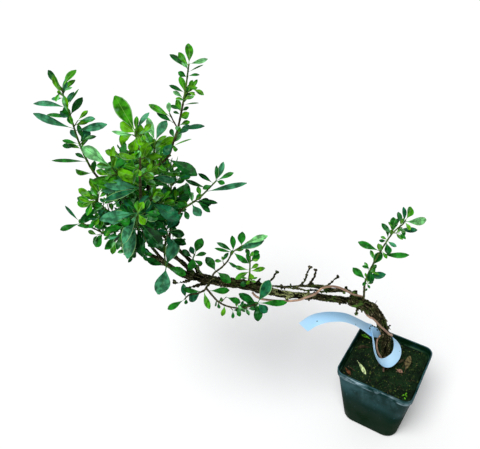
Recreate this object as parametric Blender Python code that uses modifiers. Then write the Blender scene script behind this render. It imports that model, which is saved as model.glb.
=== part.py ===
"""Potted snow leaves serissa: a small shrub trained over to one side in a square nursery pot.

The origin is the centre of the pot's flat underside, +Z is up and the crown leans towards -X.
Routes and sizes of the plant are in millimetres and become metres where a mesh is made.
"""

import math
import random

import bmesh
import bpy
import numpy as np
from mathutils import Vector
from mathutils.bvhtree import BVHTree

# Driving sizes, in millimetres
POT_TOP = 90.0
POT_FOOT = 68.5
POT_HEIGHT = 94.0
POT_TURN = math.radians(-32.8)
POT_WALL = 1.4
POT_CORNER = 10.0
FOOT_CORNER = 15.5
CORNER_STEPS = 4
LIP_HEIGHT = 8.5
LIP_STEP = 1.3
LIP_CHAMFER = 0.8
LIP_FLARE = 1.004
FOOT_ROUND = 3.0
DRAIN_RADIUS = 4.5
DRAIN_REACH = 26.0
SOIL_TOP = 85.5
SOIL_GAP = 0.65
CLEAR = 0.3
SEAT = 0.8
SEAT_STEP = 0.1
STRAND_SPREAD = 0.55
CORE_SHARE = 0.62
LIMB_STEP = 11.0
SNAG_STEP = 4.0
SNAG_TAPER = 0.7
SPINE_STEP = 2.0
WIRE_STEP = 9.0
LABEL_STEP = 4.0
TURN_STEP = 6.0
ROOT_START = 79.5
LABEL_WIDTH = 13.5
LABEL_THICK = 0.5
WIRE_RADIUS = 1.2
TWIG_START = 1.0
TWIG_END = 0.5
SIDE_TWIG = 0.6
SIDE_TWIG_END = 0.4
TWIG_FOOT = 0.4
LEAF_THICK = 1.1
LEAF_WIDEST = 0.56
LEAF_STATIONS = ((0.2, 0.15), (0.32, 0.3), (0.44, 0.42), (0.56, 0.5), (0.7, 0.36), (0.85, 0.18))
LEAF_STATIONS += ((1.0, 0.0),)
ROOT_OFFSET = 0.3
SINK = 0.45

# Steps along the twigs, how side shoots bend and lift, and the rule that deals out the leaves:
# angles in degrees, and the tip's four leaves as turn and share of their size
TWIG_STEP = 5.0
FINE_STEP = 0.8
SPACE_STEP = 2.0
SIDE_BEND = 0.55
SIDE_LIFT = 0.45
SIDE_BARE = 0.35
SIDE_LEAF = 0.85
PAIR_START = 2.0
PAIR_END = 3.0
PAIR_TURN = 20
LEAF_TURN = 14
TIP_BACK = 0.5
TIP_DROOP = 0.5
TIP_LEAVES = ((0, 1.0), (180, 1.0), (90, 0.62), (270, 0.55))
NEAR_SHOWN = 0.6
APART_SHOWN = 0.55

# Room kept between a leaf and the other masses, the limbs and the leaves of its own mass
SPACE_MARGIN = 1.1
LIMB_MARGIN = 1.0
LEAF_GAP = 2.0

# Directions as the photo shows them, for a viewer who looks down by 37 degrees, and the light's
PICTURE_RIGHT = np.array([1.0, 0.0, 0.0])
PICTURE_UP = np.array([0.0, 0.6, 0.8])
TO_VIEWER = np.array([0.0, -0.8, 0.6])
TO_LIGHT = np.array([0.0, -0.6, 0.8])

MM = 0.001

for old in list(bpy.data.objects):
    bpy.data.objects.remove(old, do_unlink=True)

plant = bpy.data.collections.new("potted_snow_leaves_serissa")
bpy.context.scene.collection.children.link(plant)
cutters = bpy.data.collections.new("cutters")
bpy.context.scene.collection.children.link(cutters)


def material(name, colour, roughness, metallic=0.0):
    made = bpy.data.materials.new(name)
    made.use_nodes = True
    shader = made.node_tree.nodes["Principled BSDF"]
    shader.inputs["Base Color"].default_value = (*colour, 1.0)
    shader.inputs["Roughness"].default_value = roughness
    shader.inputs["Metallic"].default_value = metallic
    made.diffuse_color = (*colour, 1.0)
    return made


POT_PLASTIC = material("pot plastic", (0.012, 0.022, 0.030), 0.45)
SOIL = material("mossy soil", (0.022, 0.024, 0.010), 0.95)
LABEL_FILM = material("pale blue film", (0.50, 0.68, 0.86), 0.4)
WIRE_METAL = material("copper wire", (0.62, 0.36, 0.28), 0.35, 1.0)
BARK = material("mossy bark", (0.075, 0.060, 0.028), 0.9)
LEAF_FRESH = material("fresh leaf", (0.16, 0.36, 0.05), 0.45)
LEAF_MID = material("mid green leaf", (0.05, 0.22, 0.05), 0.4)
LEAF_DARK = material("dark leaf", (0.02, 0.12, 0.06), 0.35)


# Lines and frames
def smooth(points, step):
    """A rounded line through the points, with a point about every step."""
    pts = [np.array(p, float) for p in points]
    pts = [2 * pts[0] - pts[1], *pts, 2 * pts[-1] - pts[-2]]
    line = []
    for i in range(1, len(pts) - 2):
        p0, p1, p2, p3 = pts[i - 1 : i + 3]
        count = max(1, round(float(np.linalg.norm(p2 - p1)) / step))
        for t in np.arange(count) / count:
            line.append(
                0.5 * (2 * p1 + (p2 - p0) * t + (2 * p0 - 5 * p1 + 4 * p2 - p3) * t**2)
                + 0.5 * (3 * p1 - p0 - 3 * p2 + p3) * t**3
            )
    return np.array([*line, pts[-2]])


def tangents(line):
    along = np.gradient(line, axis=0)
    return along / np.linalg.norm(along, axis=1)[:, None]


def lengths(line):
    return np.concatenate([[0], np.cumsum(np.linalg.norm(np.diff(line, axis=0), axis=1))])


def side_axes(t, first):
    """Two axes square to t, the first as near as can be to the one given."""
    u = first - np.dot(first, t) * t
    u /= np.linalg.norm(u)
    return u, np.cross(t, u)


# Tubes, fusing and finishing
PROFILES = {}


def profile(sides):
    """A closed outline of 1 mm radius that a tube is swept with."""
    if sides not in PROFILES:
        curve = bpy.data.curves.new(f"profile {sides}", "CURVE")
        spline = curve.splines.new("POLY")
        spline.points.add(sides - 1)
        for i, point in enumerate(spline.points):
            angle = 2 * math.pi * i / sides
            point.co = (MM * math.cos(angle), MM * math.sin(angle), 0, 1)
        spline.use_cyclic_u = True
        obj = bpy.data.objects.new(f"profile {sides}", curve)
        cutters.objects.link(obj)
        obj.hide_render = True
        obj.display_type = "WIRE"
        PROFILES[sides] = obj
    return PROFILES[sides]


def solid_from(obj, name):
    """The evaluated mesh of a curve, welded shut with its faces outwards, as an object."""
    bpy.context.view_layer.update()
    graph = bpy.context.evaluated_depsgraph_get()
    mesh = bpy.data.meshes.new_from_object(obj.evaluated_get(graph))
    made = bpy.data.objects.new(name, mesh)
    made.matrix_world = obj.matrix_world
    plant.objects.link(made)
    bpy.data.objects.remove(obj, do_unlink=True)
    shape = bmesh.new()
    shape.from_mesh(mesh)
    bmesh.ops.remove_doubles(shape, verts=shape.verts, dist=1e-6)
    bmesh.ops.triangulate(shape, faces=shape.faces)
    bmesh.ops.recalc_face_normals(shape, faces=shape.faces)
    shape.to_mesh(mesh)
    shape.free()
    return made


def tube(name, line, radii, sides):
    curve = bpy.data.curves.new(name, "CURVE")
    curve.dimensions = "3D"
    curve.bevel_mode = "OBJECT"
    curve.bevel_object = profile(sides)
    curve.use_fill_caps = True
    spline = curve.splines.new("POLY")
    spline.points.add(len(line) - 1)
    for point, place, radius in zip(spline.points, line, radii):
        point.co = (*(place * MM), 1)
        point.radius = radius
    obj = bpy.data.objects.new(name, curve)
    plant.objects.link(obj)
    return solid_from(obj, name)


def biggest_piece(mesh):
    """Keeps the largest closed piece: loose scraps and sealed hollows go."""
    shape = bmesh.new()
    shape.from_mesh(mesh)
    left = set(shape.verts)
    pieces = []
    while left:
        start = left.pop()
        found = {start}
        front = [start]
        while front:
            for edge in front.pop().link_edges:
                for vert in edge.verts:
                    if vert not in found:
                        found.add(vert)
                        front.append(vert)
        left -= found
        pieces.append(found)
    keep = max(pieces, key=len)
    bmesh.ops.delete(shape, geom=[v for v in shape.verts if v not in keep], context="VERTS")
    bmesh.ops.triangulate(shape, faces=shape.faces)
    shape.to_mesh(mesh)
    shape.free()


def fuse(name, pieces, surface):
    """One solid from overlapping pieces, by a Boolean union on a collection of them."""
    first, *others = pieces
    if not others:
        return named(first, name, surface)
    joining = bpy.data.collections.new("joining")
    bpy.context.scene.collection.children.link(joining)
    for piece in others:
        plant.objects.unlink(piece)
        joining.objects.link(piece)
    union = first.modifiers.new("union", "BOOLEAN")
    union.operation = "UNION"
    union.operand_type = "COLLECTION"
    union.collection = joining
    union.solver = "EXACT"
    bpy.context.view_layer.update()
    graph = bpy.context.evaluated_depsgraph_get()
    mesh = bpy.data.meshes.new_from_object(first.evaluated_get(graph))
    biggest_piece(mesh)
    mesh.materials.clear()
    mesh.materials.append(surface)
    made = bpy.data.objects.new(name, mesh)
    plant.objects.link(made)
    for piece in pieces:
        bpy.data.objects.remove(piece, do_unlink=True)
    bpy.data.collections.remove(joining)
    return made


def named(obj, name, surface):
    obj.name = name
    obj.data.materials.clear()
    obj.data.materials.append(surface)
    return obj


# Pot: a thin square tapered shell with a proud lip band and four drain holes
def square_shell(name, z0, z1, inset=0.0):
    """A tapered box with rounded upright edges between two heights, set in from the pot's body."""
    mesh = bpy.data.meshes.new(name)
    shape = bmesh.new()
    ring = 4 * (CORNER_STEPS + 1)
    bmesh.ops.create_circle(shape, cap_ends=True, segments=ring, radius=1.0)
    foot = list(shape.verts)
    made = bmesh.ops.extrude_face_region(shape, geom=list(shape.faces))["geom"]
    top = [g for g in made if isinstance(g, bmesh.types.BMVert)]
    bmesh.ops.translate(shape, verts=top, vec=(0, 0, 1))
    for verts, z in ((foot, z0), (top, z1)):
        half, corner = side_at(z) / 2 - inset, corner_at(z) - inset
        for vert in verts:
            turn = math.atan2(vert.co.y, vert.co.x) % (2 * math.pi)
            quarter, step = divmod(round(turn / (2 * math.pi) * ring) % ring, CORNER_STEPS + 1)
            angle = math.pi / 2 * (quarter + step / CORNER_STEPS)
            middle = math.pi / 2 * quarter + math.pi / 4
            reach = math.sqrt(2) * (half - corner)
            vert.co.x = (reach * math.cos(middle) + corner * math.cos(angle)) * MM
            vert.co.y = (reach * math.sin(middle) + corner * math.sin(angle)) * MM
            vert.co.z = z * MM
    bmesh.ops.recalc_face_normals(shape, faces=shape.faces)
    shape.to_mesh(mesh)
    shape.free()
    obj = bpy.data.objects.new(name, mesh)
    obj.rotation_euler.z = POT_TURN
    plant.objects.link(obj)
    return obj


def side_at(z):
    """Outer side of the pot's body at a height."""
    body_top = POT_TOP - 2 * LIP_STEP
    return POT_FOOT + (body_top - POT_FOOT) * z / (POT_HEIGHT - LIP_HEIGHT)


def corner_at(z):
    """Radius of the body's upright corners at a height."""
    return FOOT_CORNER + (POT_CORNER - FOOT_CORNER) * z / (POT_HEIGHT - LIP_HEIGHT)


def round_off(obj, radius):
    """Rounds the edges of a shell's underside."""
    shape = bmesh.new()
    shape.from_mesh(obj.data)
    bottom = min(shape.faces, key=lambda f: f.calc_center_median().z)
    edges = list(bottom.edges)
    bmesh.ops.bevel(shape, geom=edges, offset=radius * MM, segments=2, profile=0.5, affect="EDGES")
    bmesh.ops.recalc_face_normals(shape, faces=shape.faces)
    shape.to_mesh(obj.data)
    shape.free()


def make_pot():
    body_height = POT_HEIGHT - LIP_HEIGHT
    pot = square_shell("pot", 0, body_height)
    shape = bmesh.new()
    shape.from_mesh(pot.data)
    top = max(shape.faces, key=lambda f: f.calc_center_median().z)
    rim = list(top.edges)
    bmesh.ops.delete(shape, geom=[top], context="FACES_ONLY")
    grow = POT_TOP / side_at(body_height)
    for lift, scale in ((LIP_CHAMFER, grow), (LIP_HEIGHT - LIP_CHAMFER, LIP_FLARE)):
        made = bmesh.ops.extrude_edge_only(shape, edges=rim)["geom"]
        verts = [g for g in made if isinstance(g, bmesh.types.BMVert)]
        rim = [g for g in made if isinstance(g, bmesh.types.BMEdge)]
        bmesh.ops.translate(shape, verts=verts, vec=(0, 0, lift * MM))
        bmesh.ops.scale(shape, verts=verts, vec=(scale, scale, 1))
    shape.to_mesh(pot.data)
    shape.free()
    round_off(pot, FOOT_ROUND)
    wall = pot.modifiers.new("wall", "SOLIDIFY")
    wall.thickness = POT_WALL * MM
    wall.offset = -1
    wall.use_even_offset = True
    for i in range(4):
        angle = POT_TURN + math.pi / 4 + i * math.pi / 2
        bpy.ops.mesh.primitive_cylinder_add(
            vertices=12,
            radius=DRAIN_RADIUS * MM,
            depth=6 * POT_WALL * MM,
            location=(
                DRAIN_REACH * MM * math.cos(angle),
                DRAIN_REACH * MM * math.sin(angle),
                0,
            ),
        )
        drill = bpy.context.object
        drill.name = f"drain cutter {i}"
        for home in list(drill.users_collection):
            home.objects.unlink(drill)
        cutters.objects.link(drill)
        drill.hide_render = True
        drill.display_type = "WIRE"
        hole = pot.modifiers.new(f"drain {i}", "BOOLEAN")
        hole.operation = "DIFFERENCE"
        hole.object = drill
    return named(pot, "pot", POT_PLASTIC)


make_pot()

# Soil: fills the pot to about 8 mm below the rim, clear of the wall
soil = square_shell("soil", POT_WALL + SOIL_GAP, SOIL_TOP, POT_WALL + SOIL_GAP)
named(soil, "soil", SOIL)
round_off(soil, FOOT_ROUND - POT_WALL)

# Woody limbs: each a bundle of strands round one route, fused
LIMBS = {}


def profile_value(table, fraction):
    """A value read between (fraction, value) pairs."""
    return float(np.interp(fraction, [row[0] for row in table], [row[1] for row in table]))


def cut_flat(obj, z):
    """Cuts an object off level at a height and closes the cut."""
    shape = bmesh.new()
    shape.from_mesh(obj.data)
    everything = [*shape.verts, *shape.edges, *shape.faces]
    bmesh.ops.bisect_plane(
        shape, geom=everything, plane_co=(0, 0, z * MM), plane_no=(0, 0, -1), clear_outer=True
    )
    bmesh.ops.holes_fill(shape, edges=[e for e in shape.edges if e.is_boundary])
    bmesh.ops.triangulate(shape, faces=shape.faces)
    shape.to_mesh(obj.data)
    shape.free()


def bundle(
    name, route, width, strands=1, twist=0.0, seed=1, sides=5, core=1.0, snags=(), cut=None
):
    """Strands that wind round a route and its core. width is (fraction along, half width) pairs."""
    rng = random.Random(seed)
    line = smooth(route, LIMB_STEP)
    along = lengths(line) / lengths(line)[-1]
    axes = tangents(line)
    pieces = []
    for k in range(strands):
        start = 2 * math.pi * k / strands + rng.uniform(-0.3, 0.3)
        places, radii = [], []
        for place, t, f in zip(line, axes, along):
            half = profile_value(width, f)
            offset = half * STRAND_SPREAD if strands > 1 else 0.0
            u, v = side_axes(t, np.array([0.0, -1.0, 0.0]))
            angle = start + twist * f
            wander = offset * (1 + rng.uniform(-0.12, 0.12))
            places.append(place + wander * (math.cos(angle) * u + math.sin(angle) * v))
            radii.append((half - offset) * (1 + rng.uniform(-0.10, 0.14)))
        pieces.append(tube(f"{name} strand {k}", np.array(places), radii, sides))
    if strands > 1:
        inner = [
            (p, CORE_SHARE * profile_value(width, f)) for p, f in zip(line, along) if f <= core
        ]
        places, radii = zip(*inner)
        pieces.insert(0, tube(f"{name} core", np.array(places), radii, sides))
    for i, (snag_route, thick) in enumerate(snags):
        snag = smooth(snag_route, SNAG_STEP)
        radii = np.linspace(thick, SNAG_TAPER * thick, len(snag))
        pieces.append(tube(f"{name} snag {i}", snag, radii, 4))
    made = fuse(name, pieces, BARK)
    if cut is not None:
        cut_flat(made, cut)
    LIMBS[name] = (made, line, np.array([profile_value(width, f) for f in along]))
    return made


def surface_of(obj):
    shape = bmesh.new()
    shape.from_mesh(obj.data)
    tree = BVHTree.FromBMesh(shape)
    shape.free()
    return tree


def seated(route, limb):
    """The route with its first point moved out along it until it is clear of the limb's surface."""
    tree = surface_of(LIMBS[limb][0])
    inner, outer = (Vector(p) * MM for p in route[:2])
    outward = (outer - inner).normalized()
    foot = tree.ray_cast(outer, -outward)[0]
    if foot is None:
        return [np.array(p, float) for p in route]
    while tree.find_nearest(foot)[3] < SEAT * MM:
        foot = foot + outward * SEAT_STEP * MM
    return [np.array(foot) / MM, *[np.array(p, float) for p in route[1:]]]


bundle(
    "trunk",
    [(0.5, 0, ROOT_START), (-1, 0, 100), (-3.2, 0, 121), (-6, 0, 140), (-10, 0, 151)]
    + [(-17.5, 0, 168), (-28, 0, 183.5), (-40.5, 0, 192), (-53, 0, 198)],
    [(0, 9.8), (0.12, 7.4), (0.24, 6.5), (0.6, 6.4), (0.8, 7.0), (1, 7.6)],
    strands=4,
    twist=2.4,
    seed=3,
    cut=SOIL_TOP + CLEAR,
    snags=[
        (((-41, -2, 190), (-43, -4, 185), (-44.5, -5, 180.5)), 1.5),
        (((-45, 0, 196), (-46.5, 1, 203), (-47.5, 1, 207)), 1.6),
    ],
)
bundle(
    "lower_bough",
    [(-55.8, 0, 195.2), (-66, 0, 198.0), (-80, 0, 201.2), (-95, 0, 204.0), (-111.5, 0, 206.8)]
    + [(-133, 0, 212.2), (-153.5, 0, 220), (-173.5, 0, 226), (-193, 0, 230.3), (-212.5, 0, 237)]
    + [(-228, 0, 243)],
    [(0, 4.2), (0.12, 4.1), (0.3, 3.7), (0.42, 4.4), (0.54, 6.6), (0.62, 5.9), (0.8, 5.2), (1, 3.9)],
    strands=3,
    twist=3.6,
    seed=8,
    snags=[
        (((-200, -1, 229), (-214, -4, 229), (-226, -6, 227)), 1.3),
        (((-216, 1, 236), (-228, -3, 233), (-236, -5, 235)), 1.1),
    ],
)
upper_route = [(-51.5, 0, 206.5), (-55.5, 0, 210.5), (-64, 0, 211.8), (-75, 0, 212.6)]
upper_route += [(-83, 0, 216.8), (-97, 0, 219.6), (-112, 0, 219.6), (-126, 0, 219.6), (-139.5, 0, 221.4)]
bundle(
    "upper_bough",
    upper_route,
    [(0, 2.2), (0.08, 3.3), (0.3, 3.3), (0.42, 1.6), (0.8, 1.3), (1, 1.0)],
    strands=2,
    twist=5.0,
    seed=5,
    core=0.34,
    snags=[
        (((-74, 0, 211), (-82, -1.5, 212), (-100, -1.5, 215), (-113, -1, 217.2), (-124, 0, 219)), 1.0),
        (((-80, 0, 215), (-75, 1, 222), (-71.5, 2, 225), (-68, 2, 228.5)), 0.9),
        (((-99, 0, 219.5), (-96, 1, 222), (-93, 2, 230), (-91, 2, 239)), 0.95),
        (((-107, 0, 219.5), (-103.5, 1, 225), (-100, 2, 234), (-97.5, 2, 243)), 0.95),
        (((-139, 0, 221), (-137.5, 1, 227), (-135, 1.5, 232), (-131.5, 2, 238)), 0.9),
    ],
)
bundle(
    "left_bough",
    seated([(-224, 0, 241.3), (-234, 0, 247.5), (-247, 0, 260), (-258, -0.5, 270)], "lower_bough")
    + [(-266, -1, 282), (-270, -1.5, 300), (-273, -3, 325), (-280, -4.5, 346), (-285, -5, 354)],
    [(0, 1.6), (0.04, 2.7), (0.4, 2.3), (1, 1.1)],
    seed=11,
    sides=4,
)
bundle(
    "front_bough",
    seated([(-221, 0, 240), (-226, -8, 246), (-238, -11, 262), (-249, -14, 284)], "lower_bough")
    + [(-256, -17, 305), (-257, -18, 319)],
    [(0, 0.5), (0.05, 2.1), (1, 1.3)],
    seed=12,
    sides=4,
)
bundle(
    "right_bough",
    seated([(-219, 0, 239.5), (-226, 8, 249), (-240, 7.5, 263), (-252, 6, 276)], "lower_bough")
    + [(-257, 6, 298), (-255, 6, 320), (-251.5, 6, 342), (-247, 5, 359)],
    [(0, 0.5), (0.05, 2.2), (1, 1.2)],
    seed=13,
    sides=4,
)
bundle(
    "side_bough",
    seated([(-214, 0, 237.5), (-218, -3, 249), (-229, -6, 266), (-236, -8, 288)], "lower_bough")
    + [(-232, -9, 308), (-225, -9, 322)],
    [(0, 0.5), (0.05, 1.9), (1, 1.0)],
    seed=14,
    sides=4,
)
bundle(
    "low_branch",
    seated([(-196, 0, 232), (-196.4, -6, 239.5)], "lower_bough")
    + [(-200.5, -10.5, 238), (-206, -15.5, 232.5)],
    [(0, 0.5), (0.2, 1.5), (1, 1.1)],
    seed=16,
    sides=4,
)
bundle(
    "back_bough",
    seated([(-211, 0, 236.5), (-215, 9, 244), (-229, 15, 259), (-245, 19, 277)], "lower_bough")
    + [(-257, 21, 291), (-263, 22, 300)],
    [(0, 0.5), (0.05, 2.0), (1, 1.2)],
    seed=15,
    sides=4,
)

# Training wire: one tube wound round the trunk and out along the boughs.
# Each row is the distance along the trunk's line, the angle round it and the wire's distance out.
WIRE_TURNS = (
    (4, 110, 12.9),
    (13, 112, 11.9),
    (26, 126, 12.3),
    (33, 150, 12.6),
    (41, 166, 12.4),
    (47, 190, 9.4),
    (54, 262, 8.9),
    (57, 345, 8.9),
    (62, 400, 8.8),
    (70, 438, 8.8),
    (80, 470, 8.8),
    (93, 485, 9.0),
    (104, 590, 9.4),
    (114, 650, 9.6),
    (125, 720, 11.3),
    (129, 746, 11.6),
    (137, 746, 14.8),
    (144, 743, 16.6),
    (153, 736, 18.6),
    (160, 726, 18.9),
    (166, 738, 18.6),
    (173, 754, 12.8),
    (181, 779, 7.4),
    (191, 833, 6.2),
    (201, 858, 7.6),
    (213, 866, 9.2),
    (225, 864, 10.4),
    (238, 915, 9.2),
)
spine = smooth(
    [(0, 0, 86), (-1, 0, 100), (-3.2, 0, 121), (-6, 0, 140), (-10, 0, 151), (-17.5, 0, 168)]
    + [(-28, 0, 183.5), (-40.5, 0, 191.5), (-54, 0, 196.5), (-66, 0, 198.5), (-80, 0, 201.2)]
    + [(-95, 0, 204.0), (-111.5, 0, 206.8), (-133, 0, 212.2), (-153.5, 0, 220)],
    SPINE_STEP,
)


def around(line, distance, degrees, reach):
    """A point at a distance along a line, an angle round it (0 is +X at the foot) and a reach."""
    run = lengths(line)
    index = int(np.argmin(np.abs(run - distance)))
    t = tangents(line)[index]
    front, right = side_axes(t, np.array([0.0, -1.0, 0.0]))
    angle = math.radians(degrees)
    return line[index] + reach * (math.cos(angle) * right + math.sin(angle) * front)


rows = smooth(WIRE_TURNS, TURN_STEP)
wire_line = smooth([around(spine, *row) for row in rows[::2]], WIRE_STEP)
wire = tube("training_wire", wire_line, [WIRE_RADIUS] * len(wire_line), 5)
named(wire, "training_wire", WIRE_METAL)

# Plant label: a strip whose tail arches to the left and whose loop hangs round the trunk's foot.
# Each row is the strip's centre line and the direction of its width, from the tail to the tip.
LABEL_ROWS = (
    (-101, -3, 159.5, 10, -6, -8),
    (-89.5, 2, 164, 7, -8.5, -6.5),
    (-77, 5, 165.5, 3, -11.5, -3),
    (-65, 7, 164, -1, -12, -1.5),
    (-51.5, 9, 159.5, -4, -12, 0),
    (-37, 10, 150, -5, -11.5, 1.5),
    (-24.5, 11, 139, -4, -11.5, -2),
    (-14, 10.5, 132, 1, -4, -13),
    (-2.5, 9.5, 128, 3, 4, -13.5),
    (5, 7, 127, 4.5, 7.5, -11),
    (10, 3, 120.5, 10, 4.5, -10.5),
    (10.5, -2, 114, 12, 2, -9),
    (6.5, -9, 111.5, 11, -2, -10),
    (-0.5, -13.5, 108.5, 5.5, -6, -11.5),
    (-7, -15, 108.5, 3.5, -2.5, -14),
    (-12.5, -14.5, 111.5, 3, 2.5, -14.5),
    (-16, -12, 116, 2, 6, -12.5),
    (-18, -7.5, 121.5, 1.5, 7.5, -11),
    (-19, -2.5, 128.5, 1.5, 7.5, -11),
    (-19.5, 2.5, 133, 2, 4, -12.5),
)


def make_label():
    line = smooth(LABEL_ROWS, LABEL_STEP)
    middle, across = line[:, :3], line[:, 3:]
    across = across * (LABEL_WIDTH / np.linalg.norm(across, axis=1))[:, None]
    mesh = bpy.data.meshes.new("plant_label")
    shape = bmesh.new()
    bmesh.ops.create_grid(shape, x_segments=len(line) - 1, y_segments=1, size=0.5)
    for vert in shape.verts:
        row = round((vert.co.x + 0.5) * (len(line) - 1))
        side = math.copysign(0.5, vert.co.y)
        vert.co = (middle[row] + side * across[row]) * MM
    shape.to_mesh(mesh)
    shape.free()
    obj = bpy.data.objects.new("plant_label", mesh)
    plant.objects.link(obj)
    film = obj.modifiers.new("film", "SOLIDIFY")
    film.thickness = LABEL_THICK * MM
    film.offset = 0
    return named(obj, "plant_label", LABEL_FILM)


make_label()

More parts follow.
